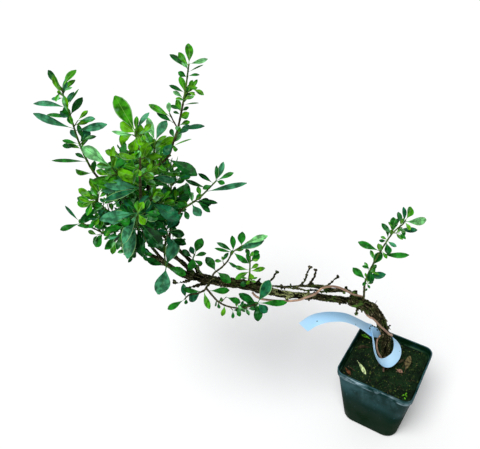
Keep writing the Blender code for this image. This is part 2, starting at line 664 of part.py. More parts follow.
# Foliage masses: each grows from one stem, which meets its limb 0.3 mm clear.
# Turn is the angle round the stem of the first pair of leaves, 0 being to the right of the photo,
# and bare is the leafless part of the foot.
# Sides are side shoots: share along the stem, direction and lean to the viewer, and reach.
# Shown rows are the leaves that stand out in the photo: share along the stem, direction, length
# and, where it isn't the mass's own, the share of its width.
MASSES = {
    "shoot_left_tall": dict(
        limb="left_bough", leaf=18, gap=9, turn=10, seed=21, wide=0.3,
        route=((-283.5, -4.8, 351.5), (-292, -6, 366), (-298, -6, 381), (-302, -6, 402),
               (-304.5, -6, 424), (-305.5, -6, 450)),
        sides=(),
        shown=((1, 60, 22), (1, 130, 17), (0.85, 160, 21), (0.78, 45, 16), (0.63, 160, 28, 0.7),
               (0.6, 0, 27, 0.8), (0.48, 42, 15, 1.4), (0.3, 177, 27, 0.5)),
    ),
    "shoot_left_low": dict(
        limb="left_bough", leaf=15, gap=11, turn=146, seed=138, wide=0.4, bare=0.4,
        route=((-266, -0.8, 281), (-274, -8, 292), (-285, -11, 300.5), (-297.5, -12, 309),
               (-313, -16, 324)),
        sides=((0.7, 120, 0.1, 13),),
        shown=((0.97, 200, 20, 0.7), (1, 120, 21, 0.5), (0.62, 235, 16, 1.2), (0.4, 250, 15)),
    ),
    "cluster_left": dict(
        limb="left_bough", leaf=17, gap=8, turn=136, seed=128, wide=0.4, bare=0.3,
        route=((-272.3, -2.5, 318), (-279, -11, 325), (-287, -15, 336), (-293.5, -20, 351)),
        sides=((0.45, 200, 0.3, 14), (0.5, 20, 0.3, 13), (0.75, 165, 0.2, 9)),
        shown=((1, 142, 16), (1, 80, 14)),
    ),
    "cluster_left_front": dict(
        limb="left_bough", leaf=17, gap=7.5, turn=136, seed=128, wide=0.4, bare=0.25,
        route=((-274, -3.2, 330), (-269, -14, 345), (-265, -22, 368), (-271, -31, 389)),
        sides=((0.35, 30, 0.2, 14), (0.5, 160, 0.2, 13), (0.6, 20, 0.1, 14)),
        shown=((1, 138, 27), (1, 80, 16, 0.7)),
    ),
    "shoot_front": dict(
        limb="front_bough", leaf=14, gap=12, turn=168, seed=124, wide=0.42, bare=0.55,
        route=((-256.8, -17.8, 316.5), (-254.5, -24, 333), (-251, -32, 358), (-247, -41, 384),
               (-242.5, -51, 408), (-240.5, -60, 436)),
        sides=((0.2, 190, 0.2, 12), (0.3, 10, 0.2, 12)),
        shown=((1, 118, 27), (1, 55, 13, 0.9), (0.97, 180, 15, 0.5), (0.95, 240, 10), (1, 88, 9),
               (0.45, 138, 15)),
    ),
    "shoot_right_tall": dict(
        limb="right_bough", leaf=14, gap=7, turn=99, seed=127, wide=0.34,
        route=((-248, 5.1, 356.5), (-239, 4, 368.5), (-229, 2, 378), (-222, 2, 394), (-211, 2, 426),
               (-205, 2, 448), (-203, 2, 463)),
        sides=((0.16, 35, 0.1, 20), (0.42, 125, 0.1, 20), (0.6, 40, 0.1, 10)),
        shown=((1, 78, 16), (0.99, 148, 17), (1, -2, 14), (0.73, 48, 11, 1.4), (0.4, 18, 24, 0.7),
               (0.18, -25, 28, 0.9), (0.33, 30, 12)),
    ),
    "shoot_centre_back": dict(
        limb="right_bough", leaf=17, gap=7.5, turn=111, seed=103, wide=0.42, bare=0.2,
        route=((-253, 6, 335), (-249, 17, 347), (-244, 16, 368), (-239.5, 11, 389)),
        sides=((0.3, 160, 0.1, 14), (0.45, 30, 0.2, 14), (0.6, 170, 0.2, 13)),
        shown=((0.65, 45, 18, 1.2), (1, 108, 17, 0.8), (1, 58, 19, 0.9), (0.3, 40, 17, 1.2)),
    ),
    "shoot_right_small": dict(
        limb="side_bough", leaf=15, gap=8, turn=5, seed=105, wide=0.34,
        route=((-226.3, -8.9, 319.5), (-221, -9, 328), (-212.5, -10.5, 335.5), (-202, -12, 344.5),
               (-187, -14, 362)),
        sides=((0.3, 250, 0.2, 13),),
        shown=((1, 60, 16), (0.75, 150, 19, 0.8), (0.72, 8, 30, 0.6), (0.38, 125, 16), (1, 20, 15),
               (1, 130, 13)),
    ),
    "fan_front": dict(
        limb="front_bough", leaf=18, gap=7.5, turn=5, seed=105, wide=0.4, bare=0.3, droop=70,
        route=((-256.2, -17.2, 309), (-259, -30, 322), (-258, -43, 338), (-256, -52, 349)),
        sides=((0.5, 180, 0.2, 13), (0.6, 0, 0.1, 13)),
        shown=((1, 240, 24, 1.1), (0.6, 238, 27), (1, 188, 22, 1), (0.9, -30, 26, 1.1)),
    ),
    "shoot_inner": dict(
        limb="side_bough", leaf=18, gap=7.5, turn=104, seed=132, wide=0.42, bare=0.2, droop=62,
        route=((-235.5, -8, 285), (-234, -18, 292), (-231, -27, 304), (-229, -33, 319)),
        sides=((0.4, 0, 0.2, 13), (0.6, 180, 0.2, 12)),
        shown=(),
    ),
    "whorl_front": dict(
        limb="side_bough", leaf=14, gap=7, turn=168, seed=124, wide=0.46, bare=0.4, droop=80,
        route=((-233.5, -8.5, 301), (-236.5, -16, 302), (-238, -25, 293), (-237.5, -29, 278)),
        sides=(),
        shown=((0.93, 67, 24), (1, 260, 23, 1.1), (0.98, 158, 15, 0.8), (1, -15, 18, 0.9)),
    ),
    "cluster_trunk_left": dict(
        limb="lower_bough", leaf=12, gap=6, turn=57, seed=121, wide=0.42, bare=0.35,
        route=((-207, 0, 238.5), (-210, -9, 254.5), (-215, -11, 267.5), (-212, -12, 278.5)),
        sides=((0.5, 90, 0.2, 9),),
        shown=((1, 60, 15), (0.83, 118, 10), (0.96, 8, 10), (0.85, 150, 11)),
    ),
    "twig_trunk": dict(
        limb="lower_bough", leaf=13, gap=7.5, turn=99, seed=127, wide=0.36, bare=0.35,
        route=((-198.5, 0, 234), (-195, -9, 250), (-187.5, -11, 258.5), (-180.5, -12, 268.5),
               (-175.5, -13, 279.5), (-165, -14, 289)),
        sides=(),
        shown=((0.3, 117, 18), (0.32, -38, 16), (0.8, 143, 16, 0.8), (0.78, 165, 14, 0.7),
               (0.8, 86, 15), (0.88, 18, 27, 0.8), (1, 30, 20, 0.8), (0.96, 85, 14)),
    ),
    "cluster_trunk_right": dict(
        limb="lower_bough", leaf=10, gap=5.5, turn=25, seed=125, wide=0.42, bare=0.2,
        route=((-161, 0, 224), (-160.5, -11, 241.5), (-159.5, -13, 252.5), (-159, -14, 264),
               (-158.5, -14, 275)),
        sides=(),
        shown=((0.6, 190, 14, 0.8), (0.62, 10, 14, 0.8), (0.84, 40, 11, 1.3), (0.78, 145, 12)),
    ),
    "twig_hanging": dict(
        limb="low_branch", leaf=13, gap=8, turn=148, seed=104, wide=0.38, bare=0.1, droop=72,
        route=((-204, -13.8, 234.3), (-191.5, -20, 220), (-178.5, -23, 215), (-165, -25, 216),
               (-152.5, -26, 223)),
        sides=(),
        shown=((1, 56, 24, 0.9), (0.99, 138, 17), (1, -2, 27, 0.6), (1, -50, 14, 1.2),
               (0.96, -73, 17, 1.1), (0.05, -16, 17, 0.9), (0.42, -100, 9)),
    ),
    "cluster_low": dict(
        limb="low_branch", leaf=13, gap=8, turn=60, seed=36, wide=0.4, bare=0.2, droop=68,
        route=((-205.5, -15.2, 232.8), (-213.5, -17, 230), (-221, -18, 230), (-226.5, -19, 224.5)),
        sides=(),
        shown=((0.02, 76, 20), (0.14, 160, 16, 0.8), (0.1, 208, 15, 1.2), (0.05, -75, 18, 0.8),
               (0.93, 108, 12), (1, 213, 19, 0.9)),
    ),
    "shoot_near_pot": dict(
        limb="trunk", leaf=13, gap=9, turn=52, seed=116, wide=0.34, bare=0.12,
        route=((-38, 0, 190.5), (-37, -1, 207), (-36, -2, 225), (-33.8, -2, 242), (-28, -4, 267),
               (-18, -5, 288), (-8.5, -5, 310)),
        sides=(),
        shown=((0.92, 78, 16), (0.96, 43, 12, 1.3), (0.94, -8, 24, 0.9), (0.8, 87, 16, 1.1),
               (0.8, 130, 14, 0.7), (0.57, 153, 25, 0.7), (0.57, -11, 27, 0.7), (0.25, 140, 20, 0.8),
               (0.27, 20, 16, 1.2)),
    ),
    "cluster_centre": dict(
        limb="right_bough", leaf=16, gap=7, turn=163, seed=119, wide=0.4, bare=0.3,
        route=((-254.5, 6, 322), (-251, -6, 330), (-247, -18, 341), (-245.5, -30, 354)),
        sides=((0.5, 210, 0.2, 13), (0.6, 10, 0.2, 12)),
        shown=((1, -30, 29, 1), (1, 175, 15)),
    ),
    "cluster_middle": dict(
        limb="left_bough", leaf=16, gap=7, turn=45, seed=145, wide=0.42, bare=0.25,
        route=((-270, -1.8, 305), (-270, -10, 312), (-275, -17, 320), (-281, -23, 331)),
        sides=((0.5, 60, 0.2, 13), (0.6, 200, 0.2, 12)),
        shown=(),
    ),
    "cluster_crown_low": dict(
        limb="left_bough", leaf=16, gap=7, turn=35, seed=135, wide=0.45, bare=0.25,
        route=((-262, -0.7, 276), (-264, -9, 281), (-268, -16, 290), (-271, -22, 302)),
        sides=((0.5, 200, 0.2, 13), (0.6, -20, 0.2, 12)),
        shown=(),
    ),
    "shoot_centre_left": dict(
        limb="right_bough", leaf=17, gap=7.5, turn=131, seed=123, wide=0.42, bare=0.25,
        route=((-252.5, 6, 338), (-262, 4, 346), (-268, -1, 360), (-266, -6, 380)),
        sides=((0.4, 150, 0.2, 13), (0.6, 30, 0.2, 13)),
        shown=(),
    ),
    "shoot_back_left": dict(
        limb="left_bough", leaf=18, gap=7.5, turn=173, seed=129, wide=0.4, bare=0.25,
        route=((-270.3, -1.6, 302), (-271, 12, 312), (-274, 28, 334), (-277, 42, 364)),
        sides=((0.4, 90, -0.4, 14), (0.6, 200, -0.4, 12)),
        shown=(),
    ),
    "shoot_back": dict(
        limb="back_bough", leaf=18, gap=7.5, turn=74, seed=102, wide=0.4,
        route=((-261, 21.7, 297), (-265, 33, 308), (-264, 48, 327), (-259, 60, 350)),
        sides=((0.35, 140, -0.4, 14), (0.6, 60, -0.4, 12)),
        shown=(),
    ),
    "shoot_back_right": dict(
        limb="back_bough", leaf=18, gap=7.5, turn=126, seed=118, wide=0.4, bare=0.15,
        route=((-247, 19.4, 280), (-242, 30, 293), (-236, 40, 314), (-233, 47, 338)),
        sides=((0.4, 60, -0.4, 13), (0.6, 170, -0.4, 10)),
        shown=(),
    ),
    "cluster_back_low": dict(
        limb="back_bough", leaf=18, gap=7.5, turn=146, seed=138, wide=0.4, bare=0.2,
        route=((-236, 17, 268), (-247, 28, 272), (-264, 38, 281), (-283, 45, 297)),
        sides=((0.4, 90, -0.4, 13), (0.6, 250, -0.4, 12)),
        shown=(),
    ),
}


def as_seen(angle, lean=0.12):
    """The direction that shows at an angle in the photo, leaning a little to the viewer."""
    turn = math.radians(angle)
    heading = math.cos(turn) * PICTURE_RIGHT + math.sin(turn) * PICTURE_UP + lean * TO_VIEWER
    return heading / np.linalg.norm(heading)


def twig_lines(mass):
    """The stem and the side shoots of a mass, as lines with the turn of each one's first pair."""
    stem = smooth(seated(mass["route"], mass["limb"]), TWIG_STEP)
    lines = [(stem, mass["turn"], mass.get("bare", 0.08))]
    for share, angle, lean, reach in mass["sides"]:
        heading = as_seen(angle, lean)
        start = stem[int(share * (len(stem) - 1))]
        bend = start + SIDE_BEND * reach * heading
        lifted = heading + SIDE_LIFT * TO_LIGHT
        tip = bend + (1 - SIDE_BEND) * reach * lifted / np.linalg.norm(lifted)
        lines.append((smooth([start, bend, tip], TWIG_STEP), mass["turn"] + 90, SIDE_BARE))
    return lines


def let_down(heading, keen):
    """A leaf's direction, let down in front so that its upper side meets the light."""
    lean = max(0.0, float(heading @ TO_LIGHT) - 0.3)
    heading = heading - keen * lean * TO_LIGHT
    return heading / np.linalg.norm(heading)


def shown_leaves(mass, stem):
    """The leaves that stand out in the photo: root, direction, upper side, length, width and age."""
    fine = smooth(stem, FINE_STEP)
    along = lengths(fine) / lengths(fine)[-1]
    found = []
    for share, angle, length, *broad in mass["shown"]:
        heading = as_seen(angle)
        root = fine[int(np.argmin(np.abs(along - share)))] + ROOT_OFFSET * heading
        width = length * mass["wide"] * (broad[0] if broad else 1.0)
        found.append((root, heading, TO_VIEWER + 0.3 * TO_LIGHT, length, width, 1 - share))
    return found


def pairs(mass, line, bare):
    """Where a line's leaf pairs are, with their place in the line, and then its tip's."""
    fine = smooth(line, FINE_STEP)
    run = lengths(fine)
    nodes = np.arange(run[-1] * bare + PAIR_START, run[-1] - PAIR_END, mass["gap"])
    for i, distance in enumerate([*nodes, run[-1] - TIP_BACK]):
        index = int(np.argmin(np.abs(run - distance)))
        t = tangents(fine)[index]
        yield i, fine[index], t, side_axes(t, PICTURE_RIGHT), distance / run[-1], i == len(nodes)


def ruled_leaves(mass, lines, shown):
    """The leaves in pairs, each pair square to the last, where no shown leaf has their place."""
    rng = random.Random(mass["seed"])
    droop = mass.get("droop", 58)
    found = []
    for k, (line, first, bare) in enumerate(lines):
        for i, place, t, (u, v), share, tip in pairs(mass, line, bare):
            turn = first + 90 * i + rng.uniform(-PAIR_TURN, PAIR_TURN)
            for extra, part in TIP_LEAVES if tip else TIP_LEAVES[:2]:
                angle = math.radians(turn + extra + rng.uniform(-LEAF_TURN, LEAF_TURN))
                lean = math.radians(rng.uniform(0.8, 1.2) * (TIP_DROOP * droop if tip else droop))
                out = math.cos(angle) * u + math.sin(angle) * v
                heading = math.cos(lean) * t + math.sin(lean) * out
                inner = np.cross(np.cross(t, out), heading)
                heading = let_down(heading, rng.uniform(0.2, 1.2))
                size = mass["leaf"] * rng.uniform(0.8, 1.18) * part
                size *= 0.8 if tip else 0.88 + 0.24 * math.sin(math.pi * share)
                size *= SIDE_LEAF if k else 1.0
                upper = inner + rng.uniform(0.4, 1.2) * TO_LIGHT + 0.3 * TO_VIEWER
                upper = upper + rng.uniform(-0.5, 0.5) * np.cross(heading, inner)
                width = size * mass["wide"] * rng.uniform(0.8, 1.15)
                root = place + ROOT_OFFSET * out
                age = (0.15 if tip else 1.0) * (1 - share)
                if all(
                    np.linalg.norm(root - leaf[0]) > NEAR_SHOWN * mass["gap"]
                    or float(heading @ leaf[1]) < APART_SHOWN
                    for leaf in shown
                ):
                    found.append((root, heading, upper, size, width, age))
    return found


def leaf_frame(leaf):
    root, heading, upper, length, width, _ = leaf
    across = np.cross(heading, upper)
    across /= np.linalg.norm(across)
    return root, heading, across, np.cross(across, heading), length, width


def leaf_samples(leaf):
    """Points over a leaf's blade, for the tests of space."""
    root, heading, across, _, length, width = leaf_frame(leaf)
    points = []
    for along, half in LEAF_STATIONS:
        for side in (-1, 0, 1):
            points.append(root + along * length * heading + side * half * width * across)
    return np.array(points)


def nearest(points, others):
    return np.sqrt(((points[:, None, :] - others[None, :, :]) ** 2).sum(-1)).min(1)


def fitted(leaf, blades, own, others):
    """The leaf, made smaller if need be, or None where it has no room, with its blade's points."""
    for shrink in (1.0, 0.85, 0.7):
        trial = (*leaf[:3], leaf[3] * shrink, leaf[4] * shrink, leaf[5])
        points = leaf_samples(trial)
        if (nearest(points[3:], blades) < LEAF_GAP).any():
            continue
        if not (nearest(points, own) + SPACE_MARGIN < nearest(points, others)).all():
            continue
        if all(
            (nearest(points, line) > half.max() + LIMB_MARGIN).all()
            for _, line, half in LIMBS.values()
        ):
            return trial, points[3:]
    return None, None


def grown():
    """Each mass's twigs and leaves, kept to its own space and clear of every limb."""
    lines = {name: twig_lines(mass) for name, mass in MASSES.items()}
    spaces = {name: np.concatenate([smooth(row[0], SPACE_STEP) for row in lines[name]]) for name in MASSES}
    nothing = np.full((1, 3), 9999.0)
    shown = {}
    for name, mass in MASSES.items():
        others = np.concatenate([space for other, space in spaces.items() if other != name])
        shown[name] = []
        for leaf in shown_leaves(mass, lines[name][0][0]):
            kept, _ = fitted(leaf, nothing, spaces[name], others)
            if kept:
                shown[name].append(kept)
        spaces[name] = np.concatenate([spaces[name], *[leaf_samples(leaf) for leaf in shown[name]]])
    for name, mass in MASSES.items():
        own = spaces[name]
        others = np.concatenate([space for other, space in spaces.items() if other != name])
        blades = np.concatenate([nothing] + [leaf_samples(leaf)[3:] for leaf in shown[name]])
        leaves = list(shown[name])
        for leaf in ruled_leaves(mass, lines[name], shown[name]):
            kept, points = fitted(leaf, blades, own, others)
            if kept:
                leaves.append(kept)
                blades = np.concatenate([blades, points])
        yield name, lines[name], leaves


def leaf_solid(leaf):
    """A blade of eight faces, from a sphere of four segments and two rings."""
    root, heading, across, upper, length, width = leaf_frame(leaf)
    mesh = bpy.data.meshes.new("leaf")
    shape = bmesh.new()
    bmesh.ops.create_uvsphere(shape, u_segments=4, v_segments=2, radius=1.0)
    for vert in shape.verts:
        x, y, z = vert.co
        along = LEAF_WIDEST * length if abs(z) < 0.5 else (length if z > 0 else -SINK)
        place = root + along * heading + 0.5 * width * x * across
        vert.co = (place + 0.5 * LEAF_THICK * y * upper) * MM
    bmesh.ops.recalc_face_normals(shape, faces=shape.faces)
    shape.to_mesh(mesh)
    shape.free()
    obj = bpy.data.objects.new("leaf", mesh)
    plant.objects.link(obj)
    return obj


for name, lines, leaves in list(grown()):
    pieces = []
    for k, (line, _, _) in enumerate(lines):
        thick, thin = (SIDE_TWIG, SIDE_TWIG_END) if k else (TWIG_START, TWIG_END)
        radii = np.linspace(thick, thin, len(line))
        if k == 0:
            radii[0] = TWIG_FOOT
        pieces.append(tube(f"{name} twig {k}", line, radii, 3))
    pieces += [leaf_solid(leaf) for leaf in leaves]
    tone = {"front": LEAF_DARK, "inner": LEAF_DARK, "tall": LEAF_MID}
    surface = next((made for word, made in tone.items() if word in name), LEAF_FRESH)
    fuse(name, pieces, surface)
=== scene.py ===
"""Looks of the potted snow leaves serissa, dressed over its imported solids.

Routes and sizes are in millimetres, as in the part's source, and become metres where a mesh is made.
"""

import math
import random

import bmesh
import bpy
import numpy as np
from mathutils import Euler, Matrix, Vector, noise
from mathutils.bvhtree import BVHTree


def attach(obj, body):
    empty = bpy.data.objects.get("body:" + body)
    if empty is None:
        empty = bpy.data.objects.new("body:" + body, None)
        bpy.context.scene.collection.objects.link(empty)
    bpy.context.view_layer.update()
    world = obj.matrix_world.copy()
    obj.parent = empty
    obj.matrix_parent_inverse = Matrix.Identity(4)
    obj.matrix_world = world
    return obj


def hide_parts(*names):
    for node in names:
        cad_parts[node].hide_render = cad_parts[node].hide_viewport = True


for leftover in ("Cube", "Light", "Camera"):
    if leftover in bpy.data.objects:
        bpy.data.objects.remove(bpy.data.objects[leftover], do_unlink=True)

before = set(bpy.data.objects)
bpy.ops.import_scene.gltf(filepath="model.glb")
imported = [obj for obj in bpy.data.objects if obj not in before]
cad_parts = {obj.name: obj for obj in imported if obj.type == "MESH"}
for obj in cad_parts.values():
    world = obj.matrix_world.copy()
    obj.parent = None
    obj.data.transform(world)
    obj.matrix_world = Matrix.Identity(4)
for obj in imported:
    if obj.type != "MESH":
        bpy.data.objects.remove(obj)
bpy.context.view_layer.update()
MM = 0.001

# Camera: where the photo was taken from, a little over half a metre up and looking down on the pot.
# Its place, tilt and lens were fitted to the corners of the pot's rim and foot.
CAMERA_AT = (-0.16752, -0.41605, 0.61663)
LOOKS_DOWN = math.radians(37.005)
ROLL = math.radians(-1.883)
LENS = 40.835

eye = bpy.data.cameras.new("camera")
eye.lens = LENS
eye.sensor_width = 36.0
eye.sensor_fit = "HORIZONTAL"
eye.clip_start = 0.02
camera = bpy.data.objects.new("camera", eye)
turn = Euler((math.pi / 2 - LOOKS_DOWN, 0, 0)).to_matrix() @ Matrix.Rotation(ROLL, 3, "Z")
camera.matrix_world = Matrix.LocRotScale(Vector(CAMERA_AT), turn.to_quaternion(), None)
bpy.context.scene.collection.objects.link(camera)
bpy.context.scene.camera = camera

# Studio: a white floor that the pot stands on, white air all round and one broad lamp high up.
# The light is even and soft, as in the photo, and comes from above on the viewer's side.
FLOOR_SIDE = 6.0
FLOOR_WHITE = (0.93, 0.93, 0.93, 1)
AIR_LIGHT = 0.36
SUN_STRENGTH = 2.75
SUN_SPREAD = math.radians(32)
SUN_FROM = (-0.35, -0.45, 1.0)

ground = bmesh.new()
bmesh.ops.create_grid(ground, x_segments=1, y_segments=1, size=FLOOR_SIDE / 2)
bmesh.ops.translate(ground, verts=ground.verts, vec=(0, 0, -0.0002))
floor_mesh = bpy.data.meshes.new("floor")
ground.to_mesh(floor_mesh)
ground.free()
floor = bpy.data.objects.new("floor", floor_mesh)
bpy.context.scene.collection.objects.link(floor)
paper = bpy.data.materials.new("pale paper floor")
paper.use_nodes = True
paper.node_tree.nodes["Principled BSDF"].inputs["Base Color"].default_value = FLOOR_WHITE
paper.node_tree.nodes["Principled BSDF"].inputs["Roughness"].default_value = 0.9
paper.node_tree.nodes["Principled BSDF"].inputs["Specular IOR Level"].default_value = 0.1
floor_mesh.materials.append(paper)

air = bpy.data.worlds.new("white air")
air.use_nodes = True
air.node_tree.nodes["Background"].inputs["Color"].default_value = (0.97, 0.98, 1.0, 1)
air.node_tree.nodes["Background"].inputs["Strength"].default_value = AIR_LIGHT
bpy.context.scene.world = air
bpy.context.scene.view_settings.view_transform = "Standard"

high_lamp = bpy.data.lights.new("high lamp", "SUN")
high_lamp.energy = SUN_STRENGTH
high_lamp.angle = SUN_SPREAD
high = bpy.data.objects.new("high lamp", high_lamp)
high.matrix_world = Vector(SUN_FROM).to_track_quat("Z", "Y").to_matrix().to_4x4()
bpy.context.scene.collection.objects.link(high)


# Pot: a thin square tub of black polypropylene, blown in one piece with a proud lip band round its
# mouth. It is a rounded box, drawn out at the lip, given a wall and drilled for water.
POT_TOP = 90.0
POT_FOOT = 68.5
POT_HEIGHT = 94.0
POT_TURN = math.radians(-32.8)
POT_WALL = 1.4
POT_CORNER = 10.0
FOOT_CORNER = 15.5
CORNER_STEPS = 9
LIP_HEIGHT = 8.5
LIP_STEP = 1.3
LIP_CHAMFER = 0.8
LIP_FLARE = 1.004
FOOT_ROUND = 3.0
DRAIN_RADIUS = 4.5
DRAIN_REACH = 26.0
PLASTIC_DARK = (0.0015, 0.0140, 0.0040, 1)
PLASTIC_BLUE = (0.004, 0.026, 0.024, 1)
PLASTIC_DUST_AND_HIGHLIGHT = (0.040, 0.100, 0.110, 1)
PLASTIC_ALGAE = (0.060, 0.130, 0.060, 1)
PLASTIC_SCUFF = (0.34, 0.46, 0.52, 1)


def side_at(z):
    """Outer side of the pot's body at a height."""
    body_top = POT_TOP - 2 * LIP_STEP
    return POT_FOOT + (body_top - POT_FOOT) * z / (POT_HEIGHT - LIP_HEIGHT)


def corner_at(z):
    """Radius of the body's upright corners at a height."""
    return FOOT_CORNER + (POT_CORNER - FOOT_CORNER) * z / (POT_HEIGHT - LIP_HEIGHT)


def put(name, shape, *surfaces, smooth_angle=None):
    """Makes a bmesh an object with its materials."""
    mesh = bpy.data.meshes.new(name)
    shape.to_mesh(mesh)
    shape.free()
    for surface in surfaces:
        mesh.materials.append(surface)
    if smooth_angle is not None:
        mesh.shade_smooth()
        mesh.set_sharp_from_angle(angle=math.radians(smooth_angle))
    obj = bpy.data.objects.new(name, mesh)
    bpy.context.scene.collection.objects.link(obj)
    return obj


def settled(obj):
    """Applies an object's modifiers and turn, so that its place is all in its mesh."""
    bpy.context.view_layer.update()
    graph = bpy.context.evaluated_depsgraph_get()
    mesh = bpy.data.meshes.new_from_object(obj.evaluated_get(graph))
    mesh.transform(obj.matrix_world)
    obj.modifiers.clear()
    obj.data = mesh
    obj.matrix_world = Matrix.Identity(4)
    return obj


def finish_for(name):
    """A new material's node tree with its shader and its object-space coordinates."""
    made = bpy.data.materials.new(name)
    made.use_nodes = True
    tree = made.node_tree
    place = tree.nodes.new("ShaderNodeTexCoord").outputs["Object"]
    return made, tree, tree.nodes["Principled BSDF"], place


def grain(tree, place, scale, detail=4.0, stretch=(1, 1, 1)):
    """A noise value over the piece, finer with scale and drawn out by stretch."""
    fit = tree.nodes.new("ShaderNodeMapping")
    fit.inputs["Scale"].default_value = stretch
    tree.links.new(place, fit.inputs["Vector"])
    cloud = tree.nodes.new("ShaderNodeTexNoise")
    cloud.inputs["Scale"].default_value = scale
    cloud.inputs["Detail"].default_value = detail
    tree.links.new(fit.outputs["Vector"], cloud.inputs["Vector"])
    return cloud.outputs["Fac"]


def between(tree, value, low, high):
    """Stretches the part of a value from low to high over 0 to 1."""
    ramp = tree.nodes.new("ShaderNodeMapRange")
    ramp.inputs["From Min"].default_value = low
    ramp.inputs["From Max"].default_value = high
    tree.links.new(value, ramp.inputs["Value"])
    return ramp.outputs["Result"]


def times(tree, a, b):
    node = tree.nodes.new("ShaderNodeMath")
    node.operation = "MULTIPLY"
    tree.links.new(a, node.inputs[0])
    tree.links.new(b, node.inputs[1])
    return node.outputs["Value"]


def blend_colour(tree, share, under, over):
    """One colour over another, each a colour or a socket."""
    mix = tree.nodes.new("ShaderNodeMix")
    mix.data_type = "RGBA"
    tree.links.new(share, mix.inputs["Factor"])
    for socket, colour in ((mix.inputs[6], under), (mix.inputs[7], over)):
        if isinstance(colour, tuple):
            socket.default_value = colour
        else:
            tree.links.new(colour, socket)
    return mix.outputs[2]


def relief(tree, shader, height, depth, strength=1.0):
    """Bump from a height value, depth being in millimetres."""
    bump = tree.nodes.new("ShaderNodeBump")
    bump.inputs["Distance"].default_value = depth * MM
    bump.inputs["Strength"].default_value = strength
    tree.links.new(height, bump.inputs["Height"])
    tree.links.new(bump.outputs["Normal"], shader.inputs["Normal"])


def axis_value(tree, place, axis):
    split = tree.nodes.new("ShaderNodeSeparateXYZ")
    tree.links.new(place, split.inputs["Vector"])
    return split.outputs[axis]


# Inside it is damp and black, a little green with algae near the soil.
inner_plastic, tree, shader, place = finish_for("black pot plastic, inside")
damp = between(tree, grain(tree, place, 90, 6), 0.42, 0.66)
height = axis_value(tree, place, "Z")
ledge = times(tree, between(tree, height, 0.0843, 0.0850), between(tree, height, 0.0868, 0.0860))
colour = blend_colour(tree, damp, PLASTIC_DARK, PLASTIC_BLUE)
colour = blend_colour(tree, times(tree, ledge, damp), colour, PLASTIC_ALGAE)
tree.links.new(colour, shader.inputs["Base Color"])
shader.inputs["Roughness"].default_value = 0.7
shader.inputs["Specular IOR Level"].default_value = 0.02

# Outside the plastic is blue-black above and green-black below, dusty under the lip and scuffed along it, with a
# painted highlight along the top of its rim.
pot_plastic, tree, shader, place = finish_for("black pot plastic")
height = axis_value(tree, place, "Z")
upper_half = between(tree, height, 0.028, 0.074)
dust = between(tree, grain(tree, place, 34, 7), 0.44, 0.66)
runs = between(tree, grain(tree, place, 70, 6, (1, 1, 0.3)), 0.50, 0.72)
under_lip = times(tree, between(tree, height, 0.048, 0.080), between(tree, height, 0.0862, 0.0848))
on_band = times(tree, between(tree, height, 0.0852, 0.0862), between(tree, height, 0.0945, 0.0925))
scratch = between(tree, grain(tree, place, 210, 6, (0.35, 0.35, 2.2)), 0.46, 0.62)
worn = between(tree, grain(tree, place, 42, 5), 0.42, 0.56)
scuff = times(tree, scratch, worn)
# A thin pale band is painted in the dust colour along the top of the rim, as the rim edge's highlight.
painted_rim_highlight = times(tree, between(tree, height, 0.0926, 0.0934), between(tree, grain(tree, place, 80, 5), 0.38, 0.60))
nicks = between(tree, grain(tree, place, 420, 4, (1, 1, 0.4)), 0.64, 0.72)
colour = blend_colour(tree, upper_half, PLASTIC_DARK, PLASTIC_BLUE)
colour = blend_colour(tree, times(tree, dust, under_lip), colour, PLASTIC_DUST_AND_HIGHLIGHT)
colour = blend_colour(tree, times(tree, runs, under_lip), colour, PLASTIC_DUST_AND_HIGHLIGHT)
colour = blend_colour(tree, times(tree, nicks, upper_half), colour, PLASTIC_DUST_AND_HIGHLIGHT)
colour = blend_colour(tree, times(tree, worn, on_band), colour, PLASTIC_DUST_AND_HIGHLIGHT)
colour = blend_colour(tree, times(tree, scuff, on_band), colour, PLASTIC_SCUFF)
colour = blend_colour(tree, painted_rim_highlight, colour, PLASTIC_DUST_AND_HIGHLIGHT)
tree.links.new(colour, shader.inputs["Base Color"])
shader.inputs["Specular IOR Level"].default_value = 0.012
rough = tree.nodes.new("ShaderNodeMapRange")
rough.inputs["To Min"].default_value = 0.42
rough.inputs["To Max"].default_value = 0.70
tree.links.new(dust, rough.inputs["Value"])
tree.links.new(rough.outputs["Result"], shader.inputs["Roughness"])
relief(tree, shader, grain(tree, place, 300, 5), 0.12, 0.6)


def tub_ring(verts, z):
    """Puts a ring of verts on the rounded square of the pot's body at a height."""
    ring = 4 * (CORNER_STEPS + 1)
    reach = math.sqrt(2) * (side_at(z) / 2 - corner_at(z))
    for vert in verts:
        turn = math.atan2(vert.co.y, vert.co.x) % (2 * math.pi)
        quarter, step = divmod(round(turn / (2 * math.pi) * ring) % ring, CORNER_STEPS + 1)
        angle = POT_TURN + math.pi / 2 * (quarter + step / CORNER_STEPS)
        middle = POT_TURN + math.pi / 2 * quarter + math.pi / 4
        vert.co.x = (reach * math.cos(middle) + corner_at(z) * math.cos(angle)) * MM
        vert.co.y = (reach * math.sin(middle) + corner_at(z) * math.sin(angle)) * MM
        vert.co.z = z * MM


